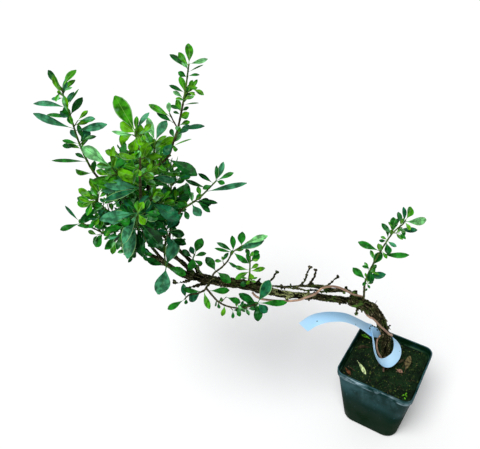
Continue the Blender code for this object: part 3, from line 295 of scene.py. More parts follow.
def make_pot():
    body = POT_HEIGHT - LIP_HEIGHT
    shape = bmesh.new()
    bmesh.ops.create_circle(shape, cap_ends=True, segments=4 * (CORNER_STEPS + 1), radius=1.0)
    foot = list(shape.verts)
    made = bmesh.ops.extrude_face_region(shape, geom=list(shape.faces))["geom"]
    top = [g for g in made if isinstance(g, bmesh.types.BMVert)]
    bmesh.ops.translate(shape, verts=top, vec=(0, 0, 1))
    tub_ring(foot, 0)
    tub_ring(top, body)
    lid = max(shape.faces, key=lambda f: f.calc_center_median().z)
    rim = list(lid.edges)
    bmesh.ops.delete(shape, geom=[lid], context="FACES_ONLY")
    grow = POT_TOP / side_at(body)
    for lift, scale in ((LIP_CHAMFER, grow), (LIP_HEIGHT - LIP_CHAMFER, LIP_FLARE)):
        made = bmesh.ops.extrude_edge_only(shape, edges=rim)["geom"]
        verts = [g for g in made if isinstance(g, bmesh.types.BMVert)]
        rim = [g for g in made if isinstance(g, bmesh.types.BMEdge)]
        bmesh.ops.translate(shape, verts=verts, vec=(0, 0, lift * MM))
        bmesh.ops.scale(shape, verts=verts, vec=(scale, scale, 1))
    sole = list(min(shape.faces, key=lambda f: f.calc_center_median().z).edges)
    bmesh.ops.bevel(shape, geom=sole, offset=FOOT_ROUND * MM, segments=5, profile=0.5, affect="EDGES", material=-1)
    bmesh.ops.recalc_face_normals(shape, faces=shape.faces)
    pot = put("nursery_pot", shape, pot_plastic, inner_plastic)
    wall = pot.modifiers.new("wall", "SOLIDIFY")
    wall.thickness = POT_WALL * MM
    wall.offset = -1
    wall.use_even_offset = True
    drills = []
    for i in range(4):
        angle = POT_TURN + math.pi / 4 + i * math.pi / 2
        drill = bmesh.new()
        bmesh.ops.create_cone(
            drill, cap_ends=True, segments=28, radius1=DRAIN_RADIUS * MM, radius2=DRAIN_RADIUS * MM, depth=0.008
        )
        reach = DRAIN_REACH * MM
        bmesh.ops.translate(drill, verts=drill.verts, vec=(reach * math.cos(angle), reach * math.sin(angle), 0))
        drills.append(put(f"drain_drill_{i}", drill))
        hole = pot.modifiers.new(f"drain {i}", "BOOLEAN")
        hole.operation = "DIFFERENCE"
        hole.object = drills[-1]
    settled(pot)
    for drill in drills:
        bpy.data.objects.remove(drill, do_unlink=True)
    soft_edges = pot.modifiers.new("soft edges", "BEVEL")
    soft_edges.width = 0.35 * MM
    soft_edges.segments = 2
    soft_edges.limit_method = "ANGLE"
    soft_edges.angle_limit = math.radians(38)
    settled(pot)
    for face in pot.data.polygons:
        inward = face.normal.x * face.center.x + face.normal.y * face.center.y
        face.material_index = int(inward < 0 and face.center.z < (POT_HEIGHT - 1) * MM)
    pot.data.shade_smooth()
    pot.data.set_sharp_from_angle(angle=math.radians(32))
    return pot


pot = make_pot()
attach(pot, "root")
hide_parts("pot")

# Soil: dark moist peat that has sunk a little below the rim and grown over with moss.
# Its top is a fine sheet pushed up and down by crumbs, its sides follow the pot's wall, and loose
# crumbs of peat, bark and moss lie on it.
SOIL_TOP = 85.5
SOIL_GAP = 0.65
SOIL_CELLS = 130
HUMP = 1.2
CRUMB_HEIGHT = 1.3
SOIL_CRUMBS = 1900
SOIL_BLACK = (0.002, 0.008, 0.003, 1)
SOIL_BROWN = (0.014, 0.018, 0.008, 1)
MOSS_DARK = (0.007, 0.028, 0.008, 1)
MOSS_OLIVE = (0.060, 0.085, 0.016, 1)
CRUMB_TONES = (
    (0.003, 0.010, 0.003, 1),
    (0.012, 0.040, 0.010, 1),
    (0.022, 0.034, 0.014, 1),
    (0.080, 0.120, 0.022, 1),
    (0.16, 0.13, 0.075, 1),
)

soil_finish, tree, shader, place = finish_for("mossy peat")
patches = between(tree, grain(tree, place, 60, 5), 0.42, 0.62)
specks = between(tree, grain(tree, place, 620, 3), 0.58, 0.70)
olive = between(tree, grain(tree, place, 260, 6), 0.57, 0.70)
olive_zone = between(tree, grain(tree, place, 26, 3), 0.46, 0.62)
colour = blend_colour(tree, patches, SOIL_BLACK, MOSS_DARK)
colour = blend_colour(tree, times(tree, olive, olive_zone), colour, MOSS_OLIVE)
colour = blend_colour(tree, specks, colour, SOIL_BROWN)
tree.links.new(colour, shader.inputs["Base Color"])
shader.inputs["Roughness"].default_value = 0.9
shader.inputs["Specular IOR Level"].default_value = 0.12
relief(tree, shader, grain(tree, place, 700, 6), 0.7)


def crumbled(x, y):
    """Height of the soil's crumbs over its level top."""
    rise = HUMP * noise.noise(Vector((x, y, 3.0)) / 17)
    rise += CRUMB_HEIGHT * abs(noise.noise(Vector((x, y, 8.0)) / 3.1))
    return rise + 0.9 * CRUMB_HEIGHT * noise.noise(Vector((x, y, 5.0)) / 1.3)


def wall_reach(angle, z, inset):
    """How far the pot's body, set in, reaches at an angle from its own axes and a height."""
    half, corner = side_at(z) / 2 - inset, corner_at(z) - inset
    c, s = abs(math.cos(angle)), abs(math.sin(angle))
    if min(c, s) * half <= max(c, s) * (half - corner):
        return half / max(c, s)
    straight = half - corner
    return straight * (c + s) + math.sqrt(corner**2 - (straight * (c - s)) ** 2)


def make_soil():
    deep = POT_WALL + SOIL_GAP
    shape = bmesh.new()
    bmesh.ops.create_grid(shape, x_segments=SOIL_CELLS, y_segments=SOIL_CELLS, size=1.0)
    border = [e for e in shape.edges if e.is_boundary]
    made = bmesh.ops.extrude_edge_only(shape, edges=border)["geom"]
    lower = {g for g in made if isinstance(g, bmesh.types.BMVert)}
    for vert in shape.verts:
        far = max(abs(vert.co.x), abs(vert.co.y))
        angle = math.atan2(vert.co.y, vert.co.x)
        z = deep + 0.5 if vert in lower else SOIL_TOP
        reach = far * wall_reach(angle, z, deep if z > deep + 1 else deep + 1.5)
        x, y = reach * math.cos(angle), reach * math.sin(angle)
        if vert not in lower:
            z += crumbled(x, y) - 0.5 - 1.2 * far**12
        vert.co = (x * MM, y * MM, z * MM)
    bmesh.ops.contextual_create(shape, geom=[g for g in made if isinstance(g, bmesh.types.BMEdge)])
    bmesh.ops.rotate(shape, verts=shape.verts, cent=(0, 0, 0), matrix=Matrix.Rotation(POT_TURN, 3, "Z"))
    bmesh.ops.recalc_face_normals(shape, faces=shape.faces)
    return put("mossy_soil", shape, soil_finish, smooth_angle=60)


def plain_finish(name, colour, roughness, specular=0.5):
    made = bpy.data.materials.new(name)
    made.use_nodes = True
    shader = made.node_tree.nodes["Principled BSDF"]
    shader.inputs["Base Color"].default_value = colour
    shader.inputs["Roughness"].default_value = roughness
    shader.inputs["Specular IOR Level"].default_value = specular
    return made


def make_crumbs():
    """Small lumps of a few faces each, strewn over the soil by a seeded rule."""
    rng = random.Random(44)
    shape = bmesh.new()
    for _ in range(SOIL_CRUMBS):
        x, y = rng.uniform(-39, 39), rng.uniform(-39, 39)
        if math.hypot(x, y) > 0.95 * wall_reach(math.atan2(y, x), SOIL_TOP, POT_WALL + SOIL_GAP):
            continue
        size = 0.35 + 0.9 * rng.random() ** 2.5
        made = bmesh.ops.create_icosphere(shape, subdivisions=1, radius=size * MM)["verts"]
        stretch = Matrix.Diagonal((rng.uniform(0.6, 1.5), rng.uniform(0.6, 1.3), rng.uniform(0.4, 0.9)))
        turned = Euler([rng.uniform(0, 6.3) for _ in range(3)]).to_matrix() @ stretch
        grown = noise.noise(Vector((x, y, 9.0)) / 13) > 0.05
        tone = rng.choices(range(len(CRUMB_TONES)), (7, 8, 6, 5, 1) if grown else (12, 9, 3, 0.4, 0.4))[0]
        for face in {f for v in made for f in v.link_faces}:
            face.material_index = tone
        for vert in made:
            vert.co = turned @ vert.co * rng.uniform(0.75, 1.25)
        bmesh.ops.translate(shape, verts=made, vec=(x * MM, y * MM, (SOIL_TOP + crumbled(x, y) - 0.3) * MM))
    bmesh.ops.rotate(shape, verts=shape.verts, cent=(0, 0, 0), matrix=Matrix.Rotation(POT_TURN, 3, "Z"))
    bmesh.ops.recalc_face_normals(shape, faces=shape.faces)
    finishes = [plain_finish(f"soil crumb {i}", tone, 0.9, 0.12) for i, tone in enumerate(CRUMB_TONES)]
    return put("soil_crumbs", shape, *finishes, smooth_angle=40)


for piece in (make_soil(), make_crumbs()):
    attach(piece, "root")
    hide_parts("soil")

# Trunk and boughs: old woody stems that twist round each other, rough and mossy, trained far over.
# Each is swept as a bundle of strands with its burrs and dead snags, merged into one skin and given
# its furrowed bark, darkest in the furrows.
STRAND_SPREAD = 0.55
CORE_SHARE = 0.62
LIMB_STEP = 11.0
SNAG_STEP = 4.0
STRAND_STEP = 2.0
LIMB_TEST_STEP = 3.0
ROOT_START = 79.5
SINK_DEPTH = 2.0
OLD_FURROW = 1.45
YOUNG_FURROW = 0.3
FLAKE = 0.22
PIT_BELOW = -0.06
CREST_ABOVE = 0.36
BARK_TONES = {
    "pit": ((0.0010, 0.0016, 0.0005, 1), (0.006, 0.007, 0.002, 1), (0.004, 0.012, 0.002, 1)),
    "wood": ((0.009, 0.012, 0.003, 1), (0.070, 0.060, 0.028, 1), (0.040, 0.078, 0.012, 1)),
    "crest": ((0.060, 0.052, 0.022, 1), (0.36, 0.31, 0.20, 1), (0.14, 0.21, 0.045, 1)),
}
MOSS_BRIGHT = (0.080, 0.190, 0.028, 1)
BARK_PAINTED_LIGHT_PALE = (0.46, 0.52, 0.21, 1)
BOUGH_SLOPE = 0.113


def smooth(points, step):
    """A rounded line through the points, with a point about every step."""
    pts = [np.array(p, float) for p in points]
    pts = [2 * pts[0] - pts[1], *pts, 2 * pts[-1] - pts[-2]]
    line = []
    for i in range(1, len(pts) - 2):
        p0, p1, p2, p3 = pts[i - 1 : i + 3]
        count = max(1, round(float(np.linalg.norm(p2 - p1)) / step))
        for t in np.arange(count) / count:
            line.append(
                0.5 * (2 * p1 + (p2 - p0) * t + (2 * p0 - 5 * p1 + 4 * p2 - p3) * t**2)
                + 0.5 * (3 * p1 - p0 - 3 * p2 + p3) * t**3
            )
    return np.array([*line, pts[-2]])


def tangents(line):
    along = np.gradient(line, axis=0)
    return along / np.linalg.norm(along, axis=1)[:, None]


def lengths(line):
    return np.concatenate([[0], np.cumsum(np.linalg.norm(np.diff(line, axis=0), axis=1))])


def side_axes(t, first):
    """Two axes square to t, the first as near as can be to the one given."""
    u = first - np.dot(first, t) * t
    u /= np.linalg.norm(u)
    return u, np.cross(t, u)


def profile_value(table, fraction):
    return float(np.interp(fraction, [row[0] for row in table], [row[1] for row in table]))


def ring_matrix(place, t, u, radius):
    """Where a unit ring goes: its place, its heading, its size."""
    v = np.cross(t, u)
    columns = Matrix((u * radius, v * radius, t * radius)).transposed().to_4x4()
    return Matrix.Translation(Vector(place) * MM) @ columns


def sweep(shape, line, radii, sides):
    """A closed tube along a line: a ring, drawn out from station to station."""
    axes = tangents(line)
    u = side_axes(axes[0], np.array([0.31, -0.92, 0.22]))[0]
    made = bmesh.ops.create_circle(shape, cap_ends=True, segments=sides, radius=MM)
    ring = made["verts"]
    edges = list({e for v in ring for e in v.link_edges})
    old = Matrix.Identity(4)
    for i, (place, t, radius) in enumerate(zip(line, axes, radii)):
        u = side_axes(t, u)[0]
        if i:
            geom = bmesh.ops.extrude_edge_only(shape, edges=edges)["geom"]
            ring = [g for g in geom if isinstance(g, bmesh.types.BMVert)]
            edges = [g for g in geom if isinstance(g, bmesh.types.BMEdge)]
            rim = set(ring)
            edges = [e for e in edges if e.verts[0] in rim and e.verts[1] in rim]
        new = ring_matrix(place, t, u, radius)
        bmesh.ops.transform(shape, verts=ring, matrix=new @ old.inverted())
        old = new
    bmesh.ops.contextual_create(shape, geom=edges)


def limb_strands(route, width, strands, twist, seed, core):
    """The source's strands and core, as lines with a radius in their fourth column."""
    rng = random.Random(seed)
    line = smooth(route, LIMB_STEP)
    along = lengths(line) / lengths(line)[-1]
    axes = tangents(line)
    lines = []
    for k in range(strands):
        start = 2 * math.pi * k / strands + rng.uniform(-0.3, 0.3)
        rows = []
        for place, t, f in zip(line, axes, along):
            half = profile_value(width, f)
            offset = half * STRAND_SPREAD if strands > 1 else 0.0
            u, v = side_axes(t, np.array([0.0, -1.0, 0.0]))
            angle = start + twist * f
            wander = offset * (1 + rng.uniform(-0.12, 0.12))
            centre = place + wander * (math.cos(angle) * u + math.sin(angle) * v)
            rows.append([*centre, (half - offset) * (1 + rng.uniform(-0.10, 0.14))])
        lines.append(smooth(rows, STRAND_STEP))
    if strands > 1:
        inner = [[*p, CORE_SHARE * profile_value(width, f)] for p, f in zip(line, along) if f <= core]
        lines.append(smooth(inner, STRAND_STEP))
    return lines


def furrowed(obj, route, twist, depth, lost):
    """Pushes a limb's skin in and out along its grain, which turns with the limb, and tells the
    faces of its furrows and crests apart."""
    line = smooth(route, 1.0)
    run = lengths(line)
    axes = tangents(line)
    shape = bmesh.new()
    shape.from_mesh(obj.data)
    places = np.array([v.co for v in shape.verts]) / MM
    nearest_row = np.concatenate(
        [((part[:, None, :] - line[None]) ** 2).sum(-1).argmin(1) for part in np.array_split(places, 60)]
    )
    levels = []
    for vert, place, row in zip(shape.verts, places, nearest_row):
        u, v = side_axes(axes[row], np.array([0.0, -1.0, 0.0]))
        out = place - line[row]
        angle = math.atan2(float(out @ v), float(out @ u)) - twist * run[row] / run[-1]
        radius = float(np.linalg.norm(out))
        grain_at = Vector((radius * math.cos(angle), radius * math.sin(angle), run[row] / 5.5))
        ridge = 1 - 2.2 * abs(noise.noise(grain_at * 0.42))
        fibre = 1 - 2.6 * abs(noise.noise(grain_at * 1.25 + Vector((7, 3, 1))))
        lump = noise.noise(Vector(place) / 6)
        flake = noise.noise(Vector(place) / 1.2)
        level = 0.58 * ridge + 0.42 * fibre - 0.45 + 0.3 * flake
        levels.append(level)
        vert.co += vert.normal * (depth * (0.8 * level + 0.8 * lump) + FLAKE * flake - lost) * MM
    for face in shape.faces:
        level = sum(levels[v.index] for v in face.verts) / len(face.verts)
        face.material_index = 0 if level < PIT_BELOW else 2 if level > CREST_ABOVE else 1
    shape.to_mesh(obj.data)
    shape.free()


def bark_finish(name, deep, worn, mossy):
    made, tree, shader, place = finish_for(f"bark {name}")
    fine = between(tree, grain(tree, place, 640, 6), 0.36, 0.68)
    broad = between(tree, grain(tree, place, 110, 5), 0.38, 0.62)
    moss_patch = between(tree, grain(tree, place, 95, 7), 0.47, 0.60)
    bright_patch = between(tree, grain(tree, place, 170, 5, (0.45, 1, 1)), 0.54, 0.66)
    facing = tree.nodes.new("ShaderNodeNewGeometry").outputs["Normal"]
    lit_top = between(tree, axis_value(tree, facing, "Z"), 0.0, 0.6)
    x_value = axis_value(tree, place, "X")
    on_low_bough = times(tree, between(tree, x_value, -0.085, -0.070), between(tree, x_value, -0.030, -0.045))
    on_far_bough = times(tree, between(tree, x_value, -0.150, -0.130), between(tree, x_value, -0.088, -0.100))
    below_snags = tree.nodes.new("ShaderNodeMath")
    below_snags.operation = "MULTIPLY_ADD"
    tree.links.new(x_value, below_snags.inputs[0])
    below_snags.inputs[1].default_value = BOUGH_SLOPE
    tree.links.new(axis_value(tree, place, "Z"), below_snags.inputs[2])
    on_far_bough = times(tree, on_far_bough, between(tree, below_snags.outputs["Value"], 0.2032, 0.2022))
    colour = blend_colour(tree, fine, deep, worn)
    colour = blend_colour(tree, times(tree, moss_patch, broad), colour, mossy)
    colour = blend_colour(tree, times(tree, bright_patch, on_low_bough), colour, MOSS_BRIGHT)
    # Faces of the far bough that look upward are painted pale yellow-green, as the light that falls on their tops.
    if name != "pit":
        painted_top_light = times(tree, times(tree, lit_top, fine), on_far_bough)
        colour = blend_colour(tree, painted_top_light, colour, BARK_PAINTED_LIGHT_PALE)
    tree.links.new(colour, shader.inputs["Base Color"])
    shader.inputs["Roughness"].default_value = 0.86
    shader.inputs["Specular IOR Level"].default_value = 0.05
    relief(tree, shader, grain(tree, place, 900, 6), 0.5)
    return made


bark = [bark_finish(name, *tones) for name, tones in BARK_TONES.items()]

LIMBS = {}


def stub(shape, foot, heading, reach, thick, bend=(0.0, 0.0, 0.0)):
    """A short knob or broken twig that ends blunt."""
    middle = foot + 0.5 * reach * heading
    tip = foot + reach * (heading + np.array(bend))
    sweep(shape, np.array([foot, middle, tip]), [thick, 0.85 * thick, 0.75 * thick], 6)


def knobbly(shape, route, thick, rng):
    """A dead snag: a thin crooked stem with old buds along it and a forked end."""
    coarse = smooth(route, SNAG_STEP)
    for row in range(1, len(coarse) - 1):
        coarse[row] += np.array([rng.uniform(-1, 1), 0.4 * rng.uniform(-1, 1), rng.uniform(-0.6, 0.6)]) * 1.1
    line = smooth(coarse, 1.2)
    knots = 1 + 0.28 * np.sin(np.arange(len(line)) * 1.9 + rng.uniform(0, 6))
    sweep(shape, line, np.linspace(thick, 0.7 * thick, len(line)) * knots, 8)
    axes = tangents(line)
    for row in range(3, len(line) - 1, 5):
        u, v = side_axes(axes[row], np.array([0.0, -0.8, 0.6]))
        side = rng.choice((-1, 1)) * (0.9 * v + rng.uniform(-0.5, 0.5) * u) + 0.4 * axes[row]
        stub(shape, line[row], side, rng.uniform(1.0, 2.4), 0.75 * thick)
    for side in (-1, 0.2, 1):
        u, v = side_axes(axes[-1], np.array([0.0, -0.8, 0.6]))
        fork = 0.8 * axes[-1] + side * rng.uniform(0.5, 1.0) * v
        stub(shape, line[-1], fork, rng.uniform(1.4, 3.0), 1.15 * thick)


def limb(
    name, route, width, strands=1, twist=0.0, seed=1, core=1.0, snags=(), burrs=0, skin=0.5, depth=OLD_FURROW, lost=0.0
):
    """A bough: its strands, burrs and dead snags merged into one skin, on the source's lines."""
    coarse = smooth(route, LIMB_STEP)
    along = lengths(coarse) / lengths(coarse)[-1]
    halves = np.array([profile_value(width, f) for f in along])
    rng = random.Random(seed + 300)
    shape = bmesh.new()
    for line in limb_strands(route, width, strands, twist, seed, core):
        sweep(shape, line[:, :3], line[:, 3], 10)
    for snag_route, thick in snags:
        knobbly(shape, snag_route, thick, rng)
    for _ in range(burrs):
        row = rng.randrange(1, len(coarse) - 1)
        u, v = side_axes(tangents(coarse)[row], np.array([0.0, -1.0, 0.0]))
        angle = rng.uniform(0, 2 * math.pi)
        out = math.cos(angle) * u + math.sin(angle) * v
        foot = coarse[row] + rng.uniform(-5, 5) * tangents(coarse)[row] + 0.8 * halves[row] * out
        stub(shape, foot, out, rng.uniform(0.25, 0.6) * halves[row] + 1.2, rng.uniform(0.8, 2.1))
    bmesh.ops.recalc_face_normals(shape, faces=shape.faces)
    obj = put(f"{name}_bark", shape, *bark)
    merge = obj.modifiers.new("one skin", "REMESH")
    merge.mode = "VOXEL"
    merge.voxel_size = skin * MM
    merge.use_smooth_shade = True
    settled(obj)
    furrowed(obj, coarse, twist, depth, lost)
    core_line = smooth(route, LIMB_TEST_STEP)
    share = lengths(core_line) / lengths(core_line)[-1]
    LIMBS[name] = (obj, core_line, np.array([profile_value(width, f) for f in share]))
    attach(obj, "root")
    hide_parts(name)
    return obj


def seated(route, carrier):
    """The route with its first point moved in or out along it, to meet the limb that carries it."""
    shape = bmesh.new()
    shape.from_mesh(LIMBS[carrier][0].data)
    tree = BVHTree.FromBMesh(shape)
    shape.free()
    inner, outer = (Vector(p) * MM for p in route[:2])
    outward = (outer - inner).normalized()
    foot = tree.ray_cast(outer, -outward)[0]
    if foot is None:
        return [np.array(p, float) for p in route]
    foot = foot - outward * SINK_DEPTH * 0.3 * MM
    return [np.array(foot) / MM, *[np.array(p, float) for p in route[1:]]]


trunk_route = [(0.5, 0, ROOT_START), (-1, 0, 100), (-3.2, 0, 121), (-6, 0, 140), (-10, 0, 151)]
trunk_route += [(-17.5, 0, 168), (-28, 0, 183.5), (-40.5, 0, 192), (-53, 0, 198)]
limb(
    "trunk",
    trunk_route,
    [(0, 9.8), (0.12, 7.4), (0.24, 6.5), (0.6, 6.4), (0.8, 7.0), (1, 7.6)],
    strands=4,
    twist=2.4,
    seed=3,
    burrs=26,
    snags=[
        (((-41, -2, 190), (-43, -4, 185), (-44.5, -5, 180.5)), 1.9),
        (((-45, 0, 196), (-46.5, 1, 203), (-47.5, 1, 207)), 2.3),
    ],
    lost=0.8,
)
low_route = [(-55.8, 0, 195.2), (-66, 0, 198.0), (-80, 0, 201.2), (-95, 0, 204.0), (-111.5, 0, 206.8)]
low_route += [(-133, 0, 212.2), (-153.5, 0, 220), (-173.5, 0, 226), (-193, 0, 230.3), (-212.5, 0, 237)]
limb(
    "lower_bough",
    [*low_route, (-228, 0, 243)],
    [(0, 4.2), (0.12, 4.1), (0.3, 3.7), (0.42, 4.4), (0.54, 6.6), (0.62, 5.9), (0.8, 5.2), (1, 3.9)],
    strands=3,
    twist=3.6,
    seed=8,
    burrs=26,
    snags=[
        (((-200, -1, 229), (-214, -4, 229), (-226, -6, 227)), 1.3),
        (((-216, 1, 236), (-228, -3, 233), (-236, -5, 235)), 1.1),
    ],
)
upper_route = [(-51.5, 0, 206.5), (-55.5, 0, 210.5), (-64, 0, 211.8), (-75, 0, 212.6)]
upper_route += [(-83, 0, 216.8), (-97, 0, 219.6), (-112, 0, 219.6), (-126, 0, 219.6), (-139.5, 0, 221.4)]
limb(
    "upper_bough",
    upper_route,
    [(0, 2.2), (0.08, 3.3), (0.3, 3.3), (0.42, 1.8), (0.8, 1.5), (1, 1.2)],
    strands=2,
    twist=5.0,
    seed=5,
    core=0.34,
    burrs=9,
    skin=0.38,
    depth=0.6,
    snags=[
        (((-74, 0, 211), (-82, -1.5, 212), (-100, -1.5, 215), (-113, -1, 217.2), (-124, 0, 219)), 1.1),
        (((-80, 0, 215), (-75, 1, 222), (-71.5, 2, 225), (-68, 2, 228.5)), 1.15),
        (((-99, 0, 219.5), (-96, 1, 222), (-93, 2, 230), (-91, 2, 239)), 1.25),
        (((-107, 0, 219.5), (-103.5, 1, 225), (-100, 2, 234), (-97.5, 2, 243)), 1.2),
        (((-139, 0, 221), (-137.5, 1, 227), (-135, 1.5, 232), (-131.5, 2, 238)), 1.15),
    ],
)
YOUNG = dict(skin=0.42, depth=YOUNG_FURROW)
limb(
    "left_bough",
    seated([(-224, 0, 241.3), (-234, 0, 247.5), (-247, 0, 260), (-258, -0.5, 270)], "lower_bough")
    + [(-266, -1, 282), (-270, -1.5, 300), (-273, -3, 325), (-280, -4.5, 346), (-285, -5, 354)],
    [(0, 1.6), (0.04, 2.7), (0.4, 2.3), (1, 1.1)],
    seed=11,
    **YOUNG,
)
limb(
    "front_bough",
    seated([(-221, 0, 240), (-226, -8, 246), (-238, -11, 262), (-249, -14, 284)], "lower_bough")
    + [(-256, -17, 305), (-257, -18, 319)],
    [(0, 1.7), (0.05, 2.1), (1, 1.3)],
    seed=12,
    **YOUNG,
)
limb(
    "right_bough",
    seated([(-219, 0, 239.5), (-226, 8, 249), (-240, 7.5, 263), (-252, 6, 276)], "lower_bough")
    + [(-257, 6, 298), (-255, 6, 320), (-251.5, 6, 342), (-247, 5, 359)],
    [(0, 1.7), (0.05, 2.2), (1, 1.2)],
    seed=13,
    **YOUNG,
)
limb(
    "side_bough",
    seated([(-214, 0, 237.5), (-218, -3, 249), (-229, -6, 266), (-236, -8, 288)], "lower_bough")
    + [(-232, -9, 308), (-225, -9, 322)],
    [(0, 1.6), (0.05, 1.9), (1, 1.0)],
    seed=14,
    **YOUNG,
)
limb(
    "low_branch",
    seated([(-196, 0, 232), (-196.4, -6, 239.5)], "lower_bough") + [(-200.5, -10.5, 238), (-206, -15.5, 232.5)],
    [(0, 1.5), (1, 1.1)],
    seed=16,
    **YOUNG,
)
limb(
    "back_bough",
    seated([(-211, 0, 236.5), (-215, 9, 244), (-229, 15, 259), (-245, 19, 277)], "lower_bough")
    + [(-257, 21, 291), (-263, 22, 300)],
    [(0, 1.6), (0.05, 2.0), (1, 1.2)],
    seed=15,
    **YOUNG,
)

# Training wire: soft copper-coated aluminium, wound round the trunk and out along the boughs.
# One round tube on the source's turns, with its ends cut square.
WIRE_RADIUS = 1.2
COPPER = (0.42, 0.27, 0.18, 1)
COPPER_DULL = (0.17, 0.09, 0.065, 1)
WIRE_TURNS = (
    (4, 110, 12.9),
    (13, 112, 11.9),
    (26, 126, 12.3),
    (33, 150, 12.4),
    (39, 172, 11.2),
    (43, 205, 9.2),
    (46, 262, 7.4),
    (50, 335, 6.5),
    (55, 395, 6.5),
    (62, 425, 7.0),
    (68, 438, 7.5),
    (74, 451, 7.6),
    (79, 464, 7.6),
    (85, 473, 7.6),
    (93, 482, 7.8),
    (99, 535, 8.8),
    (105, 595, 9.4),
    (114, 650, 7.4),
    (124, 705, 7.8),
    (131, 732, 11.4),
    (135, 736, 15.0),
    (140, 734, 18.4),
    (149, 730, 20.4),
    (158, 727, 19.7),
    (166, 735, 18.8),
    (173, 752, 13.8),
    (181, 777, 8.0),
    (191, 833, 6.2),
    (201, 858, 7.6),
    (213, 866, 9.2),
    (225, 864, 10.4),
    (238, 915, 9.2),
)
spine = smooth(
    [(0, 0, 86), (-1, 0, 100), (-3.2, 0, 121), (-6, 0, 140), (-10, 0, 151), (-17.5, 0, 168)]
    + [(-28, 0, 183.5), (-40.5, 0, 191.5), (-54, 0, 196.5), (-66, 0, 198.5), (-80, 0, 201.2)]
    + [(-95, 0, 204.0), (-111.5, 0, 206.8), (-133, 0, 212.2), (-153.5, 0, 220)],
    2.0,
)


def around(line, distance, degrees, reach):
    """A point at a distance along a line, an angle round it (0 is +X at the foot) and a reach."""
    index = int(np.argmin(np.abs(lengths(line) - distance)))
    t = tangents(line)[index]
    front, right = side_axes(t, np.array([0.0, -1.0, 0.0]))
    angle = math.radians(degrees)
    return line[index] + reach * (math.cos(angle) * right + math.sin(angle) * front)


copper, tree, shader, place = finish_for("copper coated wire")
dull = between(tree, grain(tree, place, 160, 5), 0.45, 0.7)
tree.links.new(blend_colour(tree, dull, COPPER, COPPER_DULL), shader.inputs["Base Color"])
shader.inputs["Metallic"].default_value = 0.55
shader.inputs["Roughness"].default_value = 0.38
relief(tree, shader, grain(tree, place, 700, 3), 0.05)

turns = smooth(WIRE_TURNS, 6.0)
wire_line = smooth(smooth([around(spine, *row) for row in turns[::2]], 9.0), 2.0)
shape = bmesh.new()
sweep(shape, wire_line, [WIRE_RADIUS] * len(wire_line), 12)
bmesh.ops.recalc_face_normals(shape, faces=shape.faces)
wire = put("copper_wire", shape, copper, smooth_angle=50)
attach(wire, "root")
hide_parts("training_wire")

# Plant label: a long blank strip of pale blue film, looped round the trunk's foot, its tip pushed
# through a slit so that the tail arches away to the left. A ribbon, given the film's thickness.
LABEL_WIDTH = 13.5
LABEL_THICK = 0.35
FILM_BLUE = (0.37, 0.65, 0.92, 1)
FILM_PALE = (0.50, 0.75, 0.95, 1)
FILM_SMUDGE = (0.10, 0.20, 0.27, 1)
SLIT_SHADOW_DARK = (0.012, 0.035, 0.045, 1)
LABEL_COLUMNS = 12
SLIT_REACH = 1.05
SLIT_MARKS = (
    (-21.4, 12.2, 137.4),
    (-20, 14.4, 138.2),
    (-17.8, 14.8, 139.1),
    (-15.6, 13.2, 138.9),
    (-12.5, 11.1, 135.1),
)
LABEL_ROWS = (
    (-101, -3, 159.5, 10, -6, -8),
    (-89.5, 2, 164, 7, -8.5, -6.5),
    (-77, 5, 165.5, 3, -11.5, -3),
    (-65, 7, 164, -1, -12, -1.5),
    (-51.5, 9, 159.5, -4, -12, 0),
    (-37, 10, 150, -5, -11.5, 1.5),
    (-24.5, 11, 139, -4, -11.5, -2),
    (-14, 10.5, 132, 1, -4, -13),
    (-2.5, 9.5, 128, 3, 4, -13.5),
    (5, 7, 127, 4.5, 7.5, -11),
    (10, 3, 120.5, 10, 4.5, -10.5),
    (10.5, -2, 114, 12, 2, -9),
    (6.5, -9, 111.5, 11, -2, -10),
    (-0.5, -13.5, 108.5, 5.5, -6, -11.5),
    (-7, -15, 108.5, 3.5, -2.5, -14),
    (-12.5, -14.5, 111.5, 3, 2.5, -14.5),
    (-16, -12, 116, 2, 6, -12.5),
    (-18, -7.5, 121.5, 1.5, 7.5, -11),
    (-19, -2.5, 128.5, 1.5, 7.5, -11),
    (-19.5, 2.5, 133, 2, 4, -12.5),
    (-20.5, 6.5, 137.5, 2, 2, -12.5),
)

film, tree, shader, place = finish_for("pale blue film")
cloudy = between(tree, grain(tree, place, 30, 3), 0.35, 0.7)
smudge = between(tree, grain(tree, place, 240, 3), 0.70, 0.76)
colour = blend_colour(tree, cloudy, FILM_BLUE, FILM_PALE)
tree.links.new(blend_colour(tree, smudge, colour, FILM_SMUDGE), shader.inputs["Base Color"])
shader.inputs["Roughness"].default_value = 0.6
shader.inputs["Specular IOR Level"].default_value = 0.25
relief(tree, shader, grain(tree, place, 900, 2), 0.03)


def make_label():
    line = smooth(LABEL_ROWS, 1.1)
    middle, across = line[:, :3], line[:, 3:]
    across = across * (LABEL_WIDTH / np.linalg.norm(across, axis=1))[:, None]
    shape = bmesh.new()
    bmesh.ops.create_grid(shape, x_segments=len(middle) - 1, y_segments=LABEL_COLUMNS, size=0.5)
    for vert in shape.verts:
        row = round((vert.co.x + 0.5) * (len(middle) - 1))
        vert.co = (middle[row] + vert.co.y * across[row]) * MM
    # The film has no cut at the slit: the faces round the slit's marks are painted dark as the slit's shadow.
    slit_shade = plain_finish("label slit shadow", SLIT_SHADOW_DARK, 0.8, 0.1)
    label = put("blank_label", shape, film, slit_shade)
    body = label.modifiers.new("film", "SOLIDIFY")
    body.thickness = LABEL_THICK * MM
    body.offset = 0
    settled(label)
    for face in label.data.polygons:
        place = np.array(face.center) / MM
        face.material_index = int(min(np.linalg.norm(place - mark) for mark in SLIT_MARKS) < SLIT_REACH)
    label.data.shade_smooth()
    label.data.set_sharp_from_angle(angle=math.radians(50))
    return label


label = make_label()
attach(label, "root")
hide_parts("plant_label")

